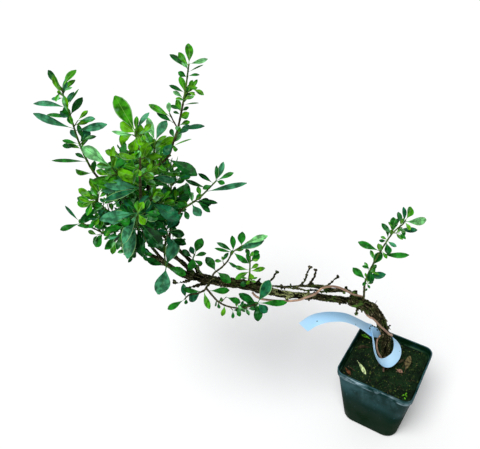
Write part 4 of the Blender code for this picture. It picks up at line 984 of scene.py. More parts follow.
# Litter on the soil: a few fallen leaves, dry and fresh, bits of bark and stalk, and a green seedling.
# Blades are drawn as the shrub's own leaves are, and lie where the photo shows them.
LEAF_LINE = 8
LEAF_CURL = 0.16
LEAF_FOLD = 0.30
RIB_HALF = 0.07
MARGIN_AT = 0.87
STALK_SHARE = 0.07
LITTER_TONES = {
    "fresh": (0.10, 0.34, 0.012, 1),
    "cream": (0.52, 0.62, 0.30, 1),
    "russet": (0.15, 0.060, 0.026, 1),
    "tan": (0.105, 0.085, 0.036, 1),
    "pink": (0.27, 0.15, 0.10, 1),
    "brown": (0.046, 0.037, 0.018, 1),
}
FALLEN = (
    ("fresh", (-8, 37, 88.5), (-19, 46, 87.5), 4.6),
    ("brown", (-10, 25, 87.5), (-26, 30, 87.5), 4.0),
    ("brown", (-17, 27, 87.5), (-28, 26, 88), 3.0),
    ("cream", (-32, 6, 88), (-24, -13.5, 88), 4.4),
    ("russet", (-48, -3, 87.5), (-44, -13, 88), 5.0),
    ("tan", (20, -13, 87), (31, 4, 96), 6.5),
    ("tan", (19, -6, 87), (33, 9, 90), 4.0),
    ("brown", (13, -1.5, 87.5), (24, 3.5, 90), 3.0),
    ("pink", (10.5, -8, 87.5), (17.5, -14, 88.5), 5.2),
    ("brown", (-34, -12, 87.2), (-43, -2, 87.5), 2.4),
)
SEEDLINGS_AT = ((9.5, -44.5, 88), (12.5, -46, 88.3), (14.5, -44, 88), (12, -48.5, 88))
STALK_BITS = 38


def leaf_frame(leaf):
    root, heading, upper, length, width, _ = leaf
    across = np.cross(heading, upper)
    across /= np.linalg.norm(across)
    return root, heading, across, np.cross(across, heading), length, width


def blade_half(t, widest):
    """Half width of a blade at a share of its length, 1 at its widest: a stalk, a belly, a point."""
    t = max(0.0, (t - STALK_SHARE) / (1 - STALK_SHARE))
    swell = math.sin(math.pi * min(t, 0.995) ** widest)
    return max(0.07, swell ** (0.95 if t**widest < 0.5 else 0.55))


def draw_leaf(shape, leaf, halves, rib, margins, rng):
    """One blade with its midrib and margins, folded along the rib and curled to its tip."""
    root, heading, across, upper, length, width = leaf_frame(leaf)
    curl = LEAF_CURL * rng.uniform(0.2, 1.7)
    fold = LEAF_FOLD * rng.uniform(0.4, 1.5)
    swing = rng.uniform(-0.12, 0.12)
    widest = rng.uniform(1.2, 1.7)
    sides = (-1.0, -MARGIN_AT, -RIB_HALF, RIB_HALF, MARGIN_AT, 1.0)
    made = bmesh.ops.create_grid(shape, x_segments=5, y_segments=LEAF_LINE, size=0.5)["verts"]
    for face in {f for v in made for f in v.link_faces}:
        column = int((face.calc_center_median().x + 0.5) * 5)
        face.material_index = (margins[0], halves[0], rib, halves[1], margins[1])[column]
        face.smooth = True
    for vert in made:
        side = sides[round((vert.co.x + 0.5) * 5)]
        t = vert.co.y + 0.5
        half = blade_half(t, widest) * width / 2
        reach = half * side
        if abs(side) == RIB_HALF:
            reach = math.copysign(min(0.30 * (1.15 - t), half * 0.6), side)
        lift = fold * abs(reach) - curl * length * t**2
        place = root + t * length * heading + (reach + swing * length * t**2) * across
        vert.co = (place + lift * upper) * MM


def make_litter():
    rng = random.Random(71)
    tones = list(LITTER_TONES)
    shape = bmesh.new()
    up = np.array([0.0, 0.0, 1.0])
    for tone, root, tip, width in FALLEN:
        root, tip = np.array(root, float), np.array(tip, float)
        length = float(np.linalg.norm(tip - root))
        side = up + 0.25 * np.array([rng.uniform(-1, 1), rng.uniform(-1, 1), 0.0])
        leaf = (root, (tip - root) / length, side, length, width, 0.0)
        slot = tones.index(tone)
        draw_leaf(shape, leaf, (slot, slot), slot, (slot, slot), rng)
    for i in range(14):
        angle = math.radians(80 * i + rng.uniform(-15, 15))
        heading = np.array([math.cos(angle), math.sin(angle), 0.3])
        heading /= np.linalg.norm(heading)
        foot = np.array(SEEDLINGS_AT[i % len(SEEDLINGS_AT)], float)
        leaf = (foot, heading, up, rng.uniform(1.6, 2.6), 1.2, 0.0)
        draw_leaf(shape, leaf, (0, 0), 0, (0, 0), rng)
    for _ in range(STALK_BITS):
        x, y = rng.uniform(-36, 36), rng.uniform(-36, 36)
        turned = Matrix.Rotation(POT_TURN, 2) @ Vector((x, y))
        foot = np.array([turned.x, turned.y, SOIL_TOP + crumbled(x, y) + 0.4])
        angle = rng.uniform(0, 6.3)
        heading = np.array([math.cos(angle), math.sin(angle), rng.uniform(-0.05, 0.15)])
        before = len(shape.faces)
        stub(shape, foot, heading, rng.uniform(2.0, 7.0), rng.uniform(0.15, 0.32), (0.1, -0.1, 0.0))
        shape.faces.ensure_lookup_table()
        for face in shape.faces[before:]:
            face.material_index = tones.index(rng.choice(("tan", "brown", "brown", "brown")))
    finishes = [mottled_finish(f"litter {name}", tone, 420, 0.7, 0.1, 0.7) for name, tone in LITTER_TONES.items()]
    return put("fallen_leaves", shape, *finishes)


def mottled_finish(name, tone, scale, roughness, specular=0.2, swing=0.45):
    """A colour that runs a little darker and lighter over the piece, with fine veins in relief."""
    made, tree, shader, place = finish_for(name)
    patch = between(tree, grain(tree, place, scale, 5), 0.40, 0.62)
    dark = (*(c * (1 - swing) for c in tone[:3]), 1)
    light = (*(min(1.0, c * (1 + 0.7 * swing)) for c in tone[:3]), 1)
    tree.links.new(blend_colour(tree, patch, dark, light), shader.inputs["Base Color"])
    shader.inputs["Roughness"].default_value = roughness
    shader.inputs["Specular IOR Level"].default_value = specular
    relief(tree, shader, grain(tree, place, 3 * scale, 3), 0.08, 0.5)
    return made


litter = make_litter()
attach(litter, "root")

# Foliage: open sprays of small opposite leaves on green twigs, each spray grown from one stem that
# leaves its bough. The rule is the source's own, carried on to short sprigs in the leaves' forks.
TWIG_START = 1.15
TWIG_END = 0.75
SIDE_TWIG = 0.7
SPRIG_TWIG = 0.45
SPRIG_REACH = (0.2, 0.7)
SPRIG_LEAF = (0.5, 0.9)
SPRIG_GAP = 0.9
LEAF_GROWTH = 1.14
SHOWN_GROWTH = 1.07
SHOWN_WIDE = 1.12
TWIG_STEP = 5.0
FINE_STEP = 0.8
SIDE_BEND = 0.55
SIDE_LIFT = 0.45
SIDE_BARE = 0.35
SIDE_LEAF = 0.85
PAIR_START = 2.0
PAIR_END = 3.0
PAIR_TURN = 20
LEAF_TURN = 14
TIP_BACK = 0.5
TIP_DROOP = 0.5
TIP_LEAVES = ((0, 1.0), (180, 1.0), (90, 0.62), (270, 0.55))
NEAR_SHOWN = 0.6
APART_SHOWN = 0.55
SHOWN_LEAN = (-0.12, 0.42)
SHOWN_ROLL = 0.5
TO_OR_FROM = 0.78
STALK_FROM = 2.0
LIMB_MARGIN = 1.0
LEAF_GAP = 1.4
ROOT_OFFSET = 0.3
LEAF_STATIONS = ((0.2, 0.15), (0.32, 0.3), (0.44, 0.42), (0.56, 0.5), (0.7, 0.36), (0.85, 0.18))
LEAF_STATIONS += ((1.0, 0.0),)
# Directions as the photo shows them, for a viewer who looks down by 37 degrees, and the light's.
PICTURE_RIGHT = np.array([1.0, 0.0, 0.0])
PICTURE_UP = np.array([0.0, 0.6, 0.8])
TO_VIEWER = np.array([0.0, -0.8, 0.6])
TO_LIGHT = np.array([0.0, -0.6, 0.8])
# A mass's sides are its side shoots: share along the stem, direction and lean to the viewer, reach.
# Its shown rows are the leaves that stand out in the photo: share along the stem, or the place, then
# direction, length, width and tone. A full mass shows nearly every leaf that it has at its sides.
MASSES = {
    "shoot_left_tall": dict(
        limb="left_bough", leaf=18, gap=9, turn=10, seed=21, wide=0.3, tone=1.4, full=True,
        route=((-283.5, -4.8, 351.5), (-292, -6, 366), (-297, -6, 380), (-301, -6, 402),
               (-302.5, -6, 422), (-304.5, -6, 439), (-304, -6, 448)),
        sides=(),
        shown=((1, 62, 16.5, 6.2, "fresh"), (1, 133, 16, 4.6, "dark"), (0.93, 70, 11, 3.4, "blue"),
               (0.97, 20, 8, 2, "pale"), (0.96, 115, 5, 2.6, "lime"), (0.92, 190, 9, 2.8, "blue"),
               (0.82, 162, 23, 4.8, "blue"), (0.85, 58, 10.3, 4, "blue"), (0.83, 50, 15.8, 2, "mid"),
               (0.76, 56, 16, 5.5, "dark"), (0.7, 118, 12, 5.7, "mid"), (0.75, 160, 7.5, 2.9, "dark"),
               (0.73, 167, 17, 3.7, "mid"), (0.63, 163, 30, 5.7, "blue"), (0.66, 20, 12.5, 4.2, "lime"),
               (0.62, 2, 25, 6, "blue"), (0.5, 50, 13, 6.7, "dusk"), (0.51, 120, 11, 4.2, "blue"),
               (0.49, 165, 12, 3.4, "mid"), (0.47, 179, 14.5, 4.2, "dark"), (0.5, -58, 14, 4.3, "dark"),
               (0.33, 140, 9.5, 3.4, "dark"), (0.31, 176, 26, 3, "mid"), (0.17, 98, 10.5, 5, "mid")),
    ),
    "shoot_left_low": dict(
        limb="left_bough", leaf=12, gap=11, turn=146, seed=138, wide=0.4, bare=0.4, tone=2.6, buds=0.5,
        route=((-266, -0.8, 281), (-274, -8, 292), (-285, -11, 300.5), (-297.5, -12, 309),
               (-313, -16, 324)),
        sides=((0.7, 120, 0.1, 13),),
        shown=((0.97, 198, 20, 5, "mid"), (1, 130, 17, 2.6, "dusk"), (0.62, 237, 14, 8.3, "mid"),
               (0.42, 258, 15, 5.5, "fresh"), (0.8, 70, 8, 4, "fresh"), (0.9, 150, 8, 4, "fresh")),
    ),
    "cluster_left": dict(
        limb="left_bough", leaf=17, gap=8, turn=136, seed=128, wide=0.4, bare=0.3, tone=2.1,
        route=((-272.3, -2.5, 318), (-279, -11, 325), (-287, -15, 336), (-293.5, -20, 351)),
        sides=((0.45, 200, 0.3, 14), (0.5, 20, 0.3, 13), (0.75, 165, 0.2, 9)),
        shown=((1, 142, 16, 6, "lime"), (1, 84, 14, 7, "pale"), (0.97, 157, 14, 4.2, "dark"),
               (0.97, 200, 11.5, 5, "lime"), (0.62, 187, 20, 5.5, "pale"), (0.5, 222, 15, 7, "dark")),
    ),
    "cluster_left_front": dict(
        limb="left_bough", leaf=17, gap=7.5, turn=136, seed=128, wide=0.4, bare=0.25, tone=1.9,
        route=((-274, -3.2, 330), (-269, -14, 345), (-265, -22, 368), (-271, -31, 389)),
        sides=((0.35, 30, 0.2, 14), (0.5, 160, 0.2, 13), (0.6, 20, 0.1, 14)),
        shown=((1, 138, 27, 10, "pale"), (1, 82, 16, 4, "lime"), (0.95, 45, 12, 6, "mid"),
               (0.7, 150, 14, 5.5, "lime")),
    ),
    "shoot_front": dict(
        limb="front_bough", leaf=14, gap=12, turn=168, seed=124, wide=0.42, bare=0.55, tone=0.6, buds=0.5,
        woody=0.95, thick=1.7,
        route=((-256.8, -17.8, 316.5), (-254.5, -24, 333), (-251, -32, 358), (-247, -41, 384),
               (-242.5, -51, 408), (-240.5, -60, 436)),
        sides=((0.2, 190, 0.2, 12), (0.3, 10, 0.2, 12)),
        shown=((0.99, 118, 27, 10.5, "fresh"), (0.97, 178, 15.5, 2.8, "pale"), (0.97, 20, 10, 2.8, "pale"),
               (1, 58, 15, 3.8, "blue"), (1, 82, 9, 3.2, "fresh"), (0.98, 148, 12, 8, "lime"),
               (0.96, -105, 11, 7, "lime"), (0.96, -62, 8, 5, "lime"), (0.45, 198, 27, 5.5, "dusk"),
               (0.47, 146, 19, 7.5, "lime"), (0.45, 170, 25, 8, "blue"), (0.45, 100, 13, 7.5, "mid")),
    ),
    "shoot_right_tall": dict(
        limb="right_bough", leaf=14, gap=7, turn=99, seed=127, wide=0.34, tone=1.4, full=True,
        woody=0.7, thick=1.3,
        route=((-248, 5.1, 356.5), (-239, 4, 368.5), (-229, 2, 378), (-222, 2, 394), (-217.5, 2, 405),
               (-208.5, 2, 438), (-203.5, 2, 461)),
        sides=((0.48, 117, 0.1, 15),),
        shown=((1, 84, 16, 6, "fresh"), (0.99, 128, 11, 4.5, "fresh"), (0.96, 133, 17.5, 4.5, "dark"),
               (0.96, 122, 7, 4, "pale"), (1, 5, 13.5, 3.4, "pale"), (0.94, 27, 12.5, 1.3, "dark"),
               (0.91, 15, 8.6, 2.3, "mid"), (0.9, 152, 7, 4, "mid"), (0.78, 97, 12.5, 4.7, "fresh"),
               (0.79, 154, 12.5, 3.2, "dark"), (0.74, 138, 9.5, 3.4, "pale"), (0.77, 50, 11, 5.2, "mid"),
               (0.75, 33, 8.8, 2.8, "dark"), (0.69, 62, 9.3, 4, "dark"), (0.69, 14, 12.3, 1.2, "mid"),
               (0.64, 20, 5.6, 2.4, "dark"), (0.64, 108, 9, 4, "fresh"), (0.65, 152, 8.6, 3, "mid"),
               (0.61, 155, 6.6, 2.5, "dark"), ((-222.8, 2, 418), 97, 10, 4, "pale"),
               ((-222, 2, 416), 148, 17.5, 5, "fresh"), ((-221, 2, 411), 145, 14, 4.2, "dark"),
               (0.52, 25, 9.3, 4, "fresh"), (0.49, 5, 20.5, 4.6, "dusk"), (0.43, 35, 13.7, 5, "blue"),
               (0.4, 108, 9, 4, "dark"), (0.36, 50, 12, 5.6, "pale"), (0.33, 24, 17, 1.4, "fresh"),
               (0.37, 228, 11.5, 6.5, "dusk"), (0.22, -27, 29, 9.5, "dark")),
    ),
    "shoot_centre_back": dict(
        limb="right_bough", leaf=17, gap=7.5, turn=111, seed=103, wide=0.42, bare=0.2, tone=0.9,
        route=((-253, 6, 335), (-249, 17, 347), (-244, 16, 368), (-239.5, 11, 389)),
        sides=((0.3, 160, 0.1, 14), (0.45, 30, 0.2, 14), (0.6, 170, 0.2, 13)),
        shown=((1, 64, 19.5, 8, "blue"), (1, 106, 19, 6, "pale"), (0.7, 45, 17, 10, "pale"),
               (0.3, 45, 17, 8, "dusk"), (0.28, -8, 19, 7, "blue"), (1, 200, 12, 5, "lime"),
               (0.65, 150, 12, 6, "fresh"), (1, 20, 10, 3, "lime")),
    ),
    "shoot_right_small": dict(
        limb="side_bough", leaf=15, gap=8, turn=5, seed=105, wide=0.34, tone=2.6, full=True,
        route=((-226.3, -8.9, 319.5), (-221, -9, 328), (-212.5, -10.5, 335.5), (-202, -12, 344.5),
               (-187, -14, 362)),
        sides=(),
        shown=((1, 65, 17, 5, "blue"), (0.98, 77, 12, 3.6, "dark"), (0.93, 140, 14, 3.6, "deep"),
               (1, 25, 15, 4.2, "mid"), (0.72, 9, 34, 4.6, "blue"), (0.8, 158, 20, 3.7, "deep"),
               (0.42, 117, 17, 6.5, "dark"), (0.45, 40, 8, 4.5, "mid"), (0.45, -8, 14, 8, "deep"),
               (0.38, -62, 13, 7.5, "blue"), (0.5, -12, 17, 3.7, "deep"), (0.48, -34, 15, 4.6, "dark"),
               (0.2, -65, 9, 4.5, "dark"), (0.9, 200, 8, 4, "mid"), (1, -20, 7, 4, "mid"),
               (0.4, 95, 8, 3.5, "pale"), (0.3, 170, 9, 5, "mid"), (0.6, 110, 8, 4, "fresh")),
    ),
    "fan_front": dict(
        limb="front_bough", leaf=18, gap=7.5, turn=5, seed=105, wide=0.4, bare=0.3, droop=70, tone=3.4,
        route=((-256.2, -17.2, 309), (-258, -31, 324), (-255, -44, 342.5), (-251, -52, 357.5)),
        sides=((0.5, 180, 0.2, 13), (0.6, 0, 0.1, 13)),
        shown=((1, 236, 27, 9, "blue"), (0.55, 245, 26, 11.5, "blue"), (1, 184, 27, 8, "blue"),
               (0.8, -47, 29, 11.5, "deep"), (1, 60, 9, 5, "lime"), (1, -60, 10, 6, "lime"),
               (1, 100, 9, 4, "fresh")),
    ),
    "shoot_inner": dict(
        limb="side_bough", leaf=18, gap=7.5, turn=104, seed=132, wide=0.42, bare=0.2, droop=62, tone=3.6, full=True,
        route=((-235.5, -8, 285), (-234.5, -18, 297.5), (-234, -27, 311), (-233, -33, 323.5)),
        sides=((0.4, 0, 0.2, 13), (0.6, 180, 0.2, 12)),
        shown=((1, 56, 16, 8, "dusk"), (1, -14, 15, 7.5, "deep"), (0.9, -72, 11, 5.3, "dusk"),
               (0.4, 215, 10, 5.5, "dark"), (1, 130, 12, 6, "dark")),
    ),
    "whorl_front": dict(
        limb="side_bough", leaf=14, gap=7, turn=168, seed=124, wide=0.46, bare=2, droop=80, tone=3.2,
        route=((-233.5, -8.5, 301), (-236.5, -16, 302), (-238, -29, 296), (-237.5, -34, 282)),
        sides=(),
        shown=((0.97, 67, 25.5, 11.5, "blue"), (1, 261, 23, 13, "blue"), (0.98, 160, 17, 6, "dark"),
               (1, -17, 18, 7.5, "mid")),
    ),
    "cluster_trunk_left": dict(
        limb="lower_bough", leaf=12, gap=6, turn=57, seed=121, wide=0.42, bare=0.35, tone=2.8, full=True,
        route=((-207, 0, 238.5), (-210, -9, 254.5), (-215, -11, 267.5), (-212, -12, 278.5)),
        sides=((0.5, 90, 0.2, 9),),
        shown=((1, 68, 14.5, 8, "mid"), (0.9, 262, 11, 7.5, "mid"), (0.85, 138, 12, 5, "dark"),
               (0.95, 110, 8, 5, "dusk"), (0.9, 22, 11, 4, "mid"), (0.8, -30, 9, 4, "mid"),
               (0.6, 200, 8, 4, "dark")),
    ),
    "twig_trunk": dict(
        limb="lower_bough", leaf=13, gap=7.5, turn=99, seed=127, wide=0.36, bare=0.35, tone=2.6, full=True,
        woody=0.6,
        route=((-198.5, 0, 234), (-195, -9, 250), (-187.5, -11, 258.5), (-180.5, -12, 268.5),
               (-175.5, -13, 279.5), (-165, -14, 289)),
        sides=(),
        shown=((0.3, 116, 16, 8, "mid"), (0.32, -38, 16, 8, "mid"), (0.8, 143, 16.5, 4, "dark"),
               (0.79, 165, 16, 3, "mid"), (0.8, 86, 14, 5.3, "mid"), (0.85, 19, 26.5, 8, "blue"),
               (1, 27, 22, 6, "pale"), (0.97, 88, 12, 7, "mid"), (0.8, -45, 13, 5, "mid"),
               (0.82, 15, 9, 3.5, "fresh"), (0.65, 60, 8, 3, "mid")),
    ),
    "cluster_trunk_right": dict(
        limb="lower_bough", leaf=10, gap=5.5, turn=25, seed=125, wide=0.42, bare=0.2, tone=1, full=True,
        route=((-161, 0, 224), (-160.5, -11, 241.5), (-159.5, -13, 252.5), (-159, -14, 264),
               (-158.5, -14, 275)),
        sides=(),
        shown=((0.62, 5, 14, 4.5, "lime"), (0.64, 172, 14, 4, "fresh"), (0.6, 198, 14, 5, "fresh"),
               (0.85, 40, 11, 6.5, "mid"), (0.75, 95, 12, 4, "mid"), (0.66, 30, 9, 4, "lime"),
               (0.6, -72, 8, 5, "lime"), (0.4, 175, 7, 2.2, "fresh"), (0.4, -5, 8, 2.2, "fresh"),
               (1, 30, 9, 5, "mid"), (1, 120, 7, 4, "mid"), (0.8, 150, 11, 5, "mid"), (0.15, 195, 8, 5, "dark")),
    ),
    "twig_hanging": dict(
        limb="low_branch", leaf=13, gap=8, turn=148, seed=104, wide=0.38, bare=0.1, droop=72, tone=2.8,
        full=True, woody=0.9,
        route=((-204, -13.8, 234.3), (-191.5, -20, 220), (-178.5, -23, 215), (-165, -25, 216),
               (-152.5, -26, 223)),
        sides=(),
        shown=((0.05, -3, 20, 6.5, "mid"), ((-184, -23, 230), -25, 15, 6, "mid"),
               (0.42, -100, 10, 4.5, "lime"), (0.62, 85, 7, 3, "lime"), (0.62, -62, 8, 4.5, "mid"),
               (0.8, 18, 11, 4.5, "mid"), (1, 56, 24, 10.5, "dusk"), (0.99, 147, 18, 7.5, "dark"),
               (1, -3, 28, 6, "mid"), (1, -48, 13, 8, "dusk"), (0.98, -80, 17, 9, "dark"),
               (0.95, 155, 9, 4, "mid")),
    ),
    "cluster_low": dict(
        limb="low_branch", leaf=13, gap=8, turn=60, seed=36, wide=0.4, bare=0.2, droop=68, tone=2.4,
        full=True, woody=0.9,
        route=((-205.5, -15.2, 232.8), (-213.5, -17, 230), (-221, -18, 230), (-226.5, -19, 224.5)),
        sides=(),
        shown=((0.05, 86, 18, 8, "blue"), (0.12, 176, 17, 5, "mid"), (0.15, 208, 14, 9, "dusk"),
               (0.02, -78, 17, 6, "fresh"), (0.9, 103, 13, 5.4, "dusk"), (1, 213, 18.5, 6.3, "mid"),
               (0.9, -85, 6, 3.5, "dark")),
    ),
    "shoot_near_pot": dict(
        limb="trunk", leaf=13, gap=9, turn=52, seed=116, wide=0.34, bare=0.12, tone=1.8, full=True,
        thick=1.3,
        route=((-38, 0, 190.5), (-38, -1, 203), (-39, -1, 222), (-36, -2, 241), (-29, -2, 264.5),
               (-21, -4, 288.5), (-12.5, -5, 301), (-10.5, -5, 306)),
        sides=(),
        shown=((0.27, 133, 16.5, 7, "mid"), (0.28, 95, 5.6, 2.4, "fresh"), (0.27, 240, 6, 3, "mid"),
               (0.41, 157, 8.3, 3, "mid"), (0.4, 265, 12.5, 6.5, "dark"), (0.38, -18, 9, 2.8, "fresh"),
               (0.3, 13, 16, 7, "dusk"), (0.44, 60, 15, 8, "dark"), (0.6, 95, 8.3, 3.7, "lime"),
               (0.61, 155, 21.5, 6.3, "mid"), (0.58, -8, 25, 5.6, "mid"), (0.74, 182, 7, 3, "dark"),
               (0.75, 145, 7, 2.8, "fresh"), (0.73, -88, 11, 7, "dark"), (0.74, -42, 9, 3.6, "blue"),
               (0.76, 90, 12, 3.7, "mid"), (0.82, 135, 13, 4.7, "dark"), (0.82, 82, 15.3, 8, "mid"),
               (0.8, 75, 5.5, 3.6, "lime"), (0.88, -5, 19, 4.8, "dusk"), (0.92, -58, 8.3, 4.2, "dark"),
               (0.94, 97, 12, 4.2, "dark"), (0.97, 87, 13.8, 4.6, "dusk"), (1, 53, 12.8, 7, "fresh"),
               (0.98, -2, 22.5, 7.4, "pale"), (0.98, -55, 8.8, 3.7, "lime"), (0.12, 40, 4, 2, "mid")),
    ),
    "cluster_centre": dict(
        limb="right_bough", leaf=16, gap=7, turn=163, seed=119, wide=0.4, bare=0.3, tone=2.4,
        route=((-254.5, 6, 322), (-251, -6, 330), (-247, -18, 341), (-245.5, -30, 354)),
        sides=((0.5, 210, 0.2, 13), (0.6, 10, 0.2, 12)),
        shown=((1, -30, 29, 10.5, "dusk"), (1, 175, 15, 6, "pale"), (1, 10, 10, 5, "pale"),
               (0.9, 130, 13, 6, "lime")),
    ),
    "cluster_middle": dict(
        limb="left_bough", leaf=16, gap=7, turn=45, seed=145, wide=0.42, bare=0.25, tone=2,
        route=((-270, -1.8, 305), (-270, -10, 312), (-275, -17, 320), (-281, -23, 331)),
        sides=((0.5, 60, 0.2, 13), (0.6, 200, 0.2, 12)),
        shown=((0.6, 200, 15, 6, "dark"), (1, 150, 14, 6, "dusk")),
    ),
    "cluster_crown_low": dict(
        limb="left_bough", leaf=12, gap=7, turn=35, seed=135, wide=0.4, bare=0.25, tone=3.2, droop=42,
        route=((-262, -0.7, 276), (-264, -9, 281), (-268, -16, 290), (-271, -22, 302)),
        sides=((0.5, 200, 0.2, 8), (0.6, -20, 0.2, 9)),
        shown=(),
    ),
    "shoot_centre_left": dict(
        limb="right_bough", leaf=17, gap=7.5, turn=131, seed=123, wide=0.42, bare=0.25, tone=1.8,
        route=((-252.5, 6, 338), (-262, 4, 346), (-268, -1, 360), (-266, -6, 380)),
        sides=((0.4, 150, 0.2, 13), (0.6, 30, 0.2, 13)),
        shown=(),
    ),
    "shoot_back_left": dict(
        limb="left_bough", leaf=18, gap=7.5, turn=173, seed=129, wide=0.4, bare=0.25, tone=2.4,
        route=((-270.3, -1.6, 302), (-271, 12, 312), (-274, 28, 334), (-277, 42, 364)),
        sides=((0.4, 90, -0.4, 14), (0.6, 200, -0.4, 12)),
        shown=(),
    ),
    "shoot_back": dict(
        limb="back_bough", leaf=18, gap=7.5, turn=74, seed=102, wide=0.4, tone=2.4,
        route=((-261, 21.7, 297), (-265, 33, 308), (-264, 48, 327), (-259, 60, 350)),
        sides=((0.35, 140, -0.4, 14), (0.6, 60, -0.4, 12)),
        shown=(),
    ),
    "shoot_back_right": dict(
        limb="back_bough", leaf=18, gap=7.5, turn=126, seed=118, wide=0.4, bare=0.15, tone=2.4,
        route=((-247, 19.4, 280), (-242, 30, 293), (-236, 40, 314), (-233, 47, 338)),
        sides=((0.4, 60, -0.4, 13), (0.6, 170, -0.4, 10)),
        shown=(),
    ),
    "cluster_back_low": dict(
        limb="back_bough", leaf=15, gap=7.5, turn=146, seed=138, wide=0.4, bare=0.2, tone=3,
        route=((-236, 17, 268), (-247, 28, 272), (-264, 38, 281), (-283, 45, 297)),
        sides=((0.4, 90, -0.4, 13), (0.6, 250, -0.4, 12)),
        shown=(),
    ),
}
# Leaf tones run from the youngest, at the shoots' tips, to the oldest, low and inside the crown, and
# then three with the sky's light painted into them as a sheen.
LEAF_TONES = {
    "lime": (0.090, 0.340, 0.003, 1),
    "fresh": (0.040, 0.265, 0.006, 1),
    "mid": (0.012, 0.175, 0.012, 1),
    "dark": (0.004, 0.095, 0.010, 1),
    "deep": (0.0015, 0.042, 0.006, 1),
    "pale": (0.190, 0.560, 0.190, 1),
    "blue": (0.050, 0.255, 0.120, 1),
    "dusk": (0.010, 0.125, 0.050, 1),
}
OLDEST = 4
SHEENS = ("pale", "pale", "blue", "dusk", "dusk")
SHEEN_SHARE = 0.28
SHEEN_PALE = (0.22, 0.50, 0.28, 1)
RIB_TONES = ((0.16, 0.40, 0.05, 1), (0.02, 0.15, 0.02, 1))
MARGIN_TONE = (0.22, 0.42, 0.16, 1)
MARGIN_SHARE = 0.28
TWIG_GREEN = (0.060, 0.130, 0.016, 1)
TWIG_BROWN = (0.060, 0.060, 0.021, 1)


def leaf_finish(name, tone):
    """A leaf's tone, mottled, with paler flecks painted on as a sheen where its skin catches the light."""
    made = mottled_finish(f"leaf {name}", tone, 210, 0.40, 0.06, 0.55)
    tree = made.node_tree
    shader = tree.nodes["Principled BSDF"]
    place = tree.nodes.new("ShaderNodeTexCoord").outputs["Object"]
    flecks = between(tree, grain(tree, place, 170, 3), 0.58, 0.98)
    under = shader.inputs["Base Color"].links[0].from_socket
    tree.links.new(blend_colour(tree, flecks, under, SHEEN_PALE), shader.inputs["Base Color"])
    return made


leaf_finishes = [leaf_finish(name, tone) for name, tone in LEAF_TONES.items()]
leaf_finishes += [plain_finish(f"leaf rib {i}", tone, 0.5, 0.1) for i, tone in enumerate(RIB_TONES)]
leaf_finishes.append(plain_finish("leaf margin", MARGIN_TONE, 0.5, 0.1))
RIB_SLOT = len(LEAF_TONES)
MARGIN_SLOT = RIB_SLOT + len(RIB_TONES)
twig_finishes = [
    mottled_finish("green twig", TWIG_GREEN, 300, 0.6, 0.1, 0.6),
    mottled_finish("brown twig", TWIG_BROWN, 300, 0.8, 0.1, 0.6),
]


def as_seen(angle, lean=0.12):
    """The direction that shows at an angle in the photo, leaning a little to the viewer."""
    turn = math.radians(angle)
    heading = math.cos(turn) * PICTURE_RIGHT + math.sin(turn) * PICTURE_UP + lean * TO_VIEWER
    return heading / np.linalg.norm(heading)


def twig_lines(mass):
    """The stem and the side shoots of a mass, as lines with the turn of each one's first pair."""
    stem = smooth(seated(mass["route"], mass["limb"]), TWIG_STEP)
    lines = [(stem, mass["turn"], mass.get("bare", 0.08))]
    for share, angle, lean, reach in mass["sides"]:
        heading = as_seen(angle, lean)
        start = stem[int(share * (len(stem) - 1))]
        bend = start + SIDE_BEND * reach * heading
        lifted = heading + SIDE_LIFT * TO_LIGHT
        tip = bend + (1 - SIDE_BEND) * reach * lifted / np.linalg.norm(lifted)
        lines.append((smooth([start, bend, tip], TWIG_STEP), mass["turn"] + 90, SIDE_BARE))
    return lines


def let_down(heading, keen):
    """A leaf's direction, let down in front so that its upper side meets the light."""
    lean = max(0.0, float(heading @ TO_LIGHT) - 0.3)
    heading = heading - keen * lean * TO_LIGHT
    return heading / np.linalg.norm(heading)


def shown_leaves(mass, stem):
    """The leaves that stand out in the photo: root, direction, upper side, length, width and tone."""
    rng = random.Random(mass["seed"] + 300)
    fine = smooth(stem, FINE_STEP)
    along = lengths(fine) / lengths(fine)[-1]
    found = []
    for at, angle, length, width, tone in mass["shown"]:
        lean = rng.uniform(*SHOWN_LEAN)
        heading = as_seen(angle, lean)
        place = np.array(at) if isinstance(at, tuple) else fine[int(np.argmin(np.abs(along - at)))]
        upper = TO_VIEWER + 0.3 * TO_LIGHT
        upper = upper + rng.uniform(-SHOWN_ROLL, SHOWN_ROLL) * np.cross(heading, TO_VIEWER)
        length *= SHOWN_GROWTH * math.hypot(1, lean)
        found.append((place + ROOT_OFFSET * heading, heading, upper, length, SHOWN_WIDE * width, tone))
    return found


def pairs(mass, line, bare):
    """Where a line's leaf pairs are, with their place in the line, and then its tip's."""
    fine = smooth(line, FINE_STEP)
    run = lengths(fine)
    nodes = np.arange(run[-1] * bare + PAIR_START, run[-1] - PAIR_END, mass["gap"])
    tip = [run[-1] - TIP_BACK] if bare < 1 else []
    for i, distance in enumerate([*nodes, *tip]):
        index = int(np.argmin(np.abs(run - distance)))
        t = tangents(fine)[index]
        yield i, fine[index], t, side_axes(t, PICTURE_RIGHT), distance / run[-1], i == len(nodes)


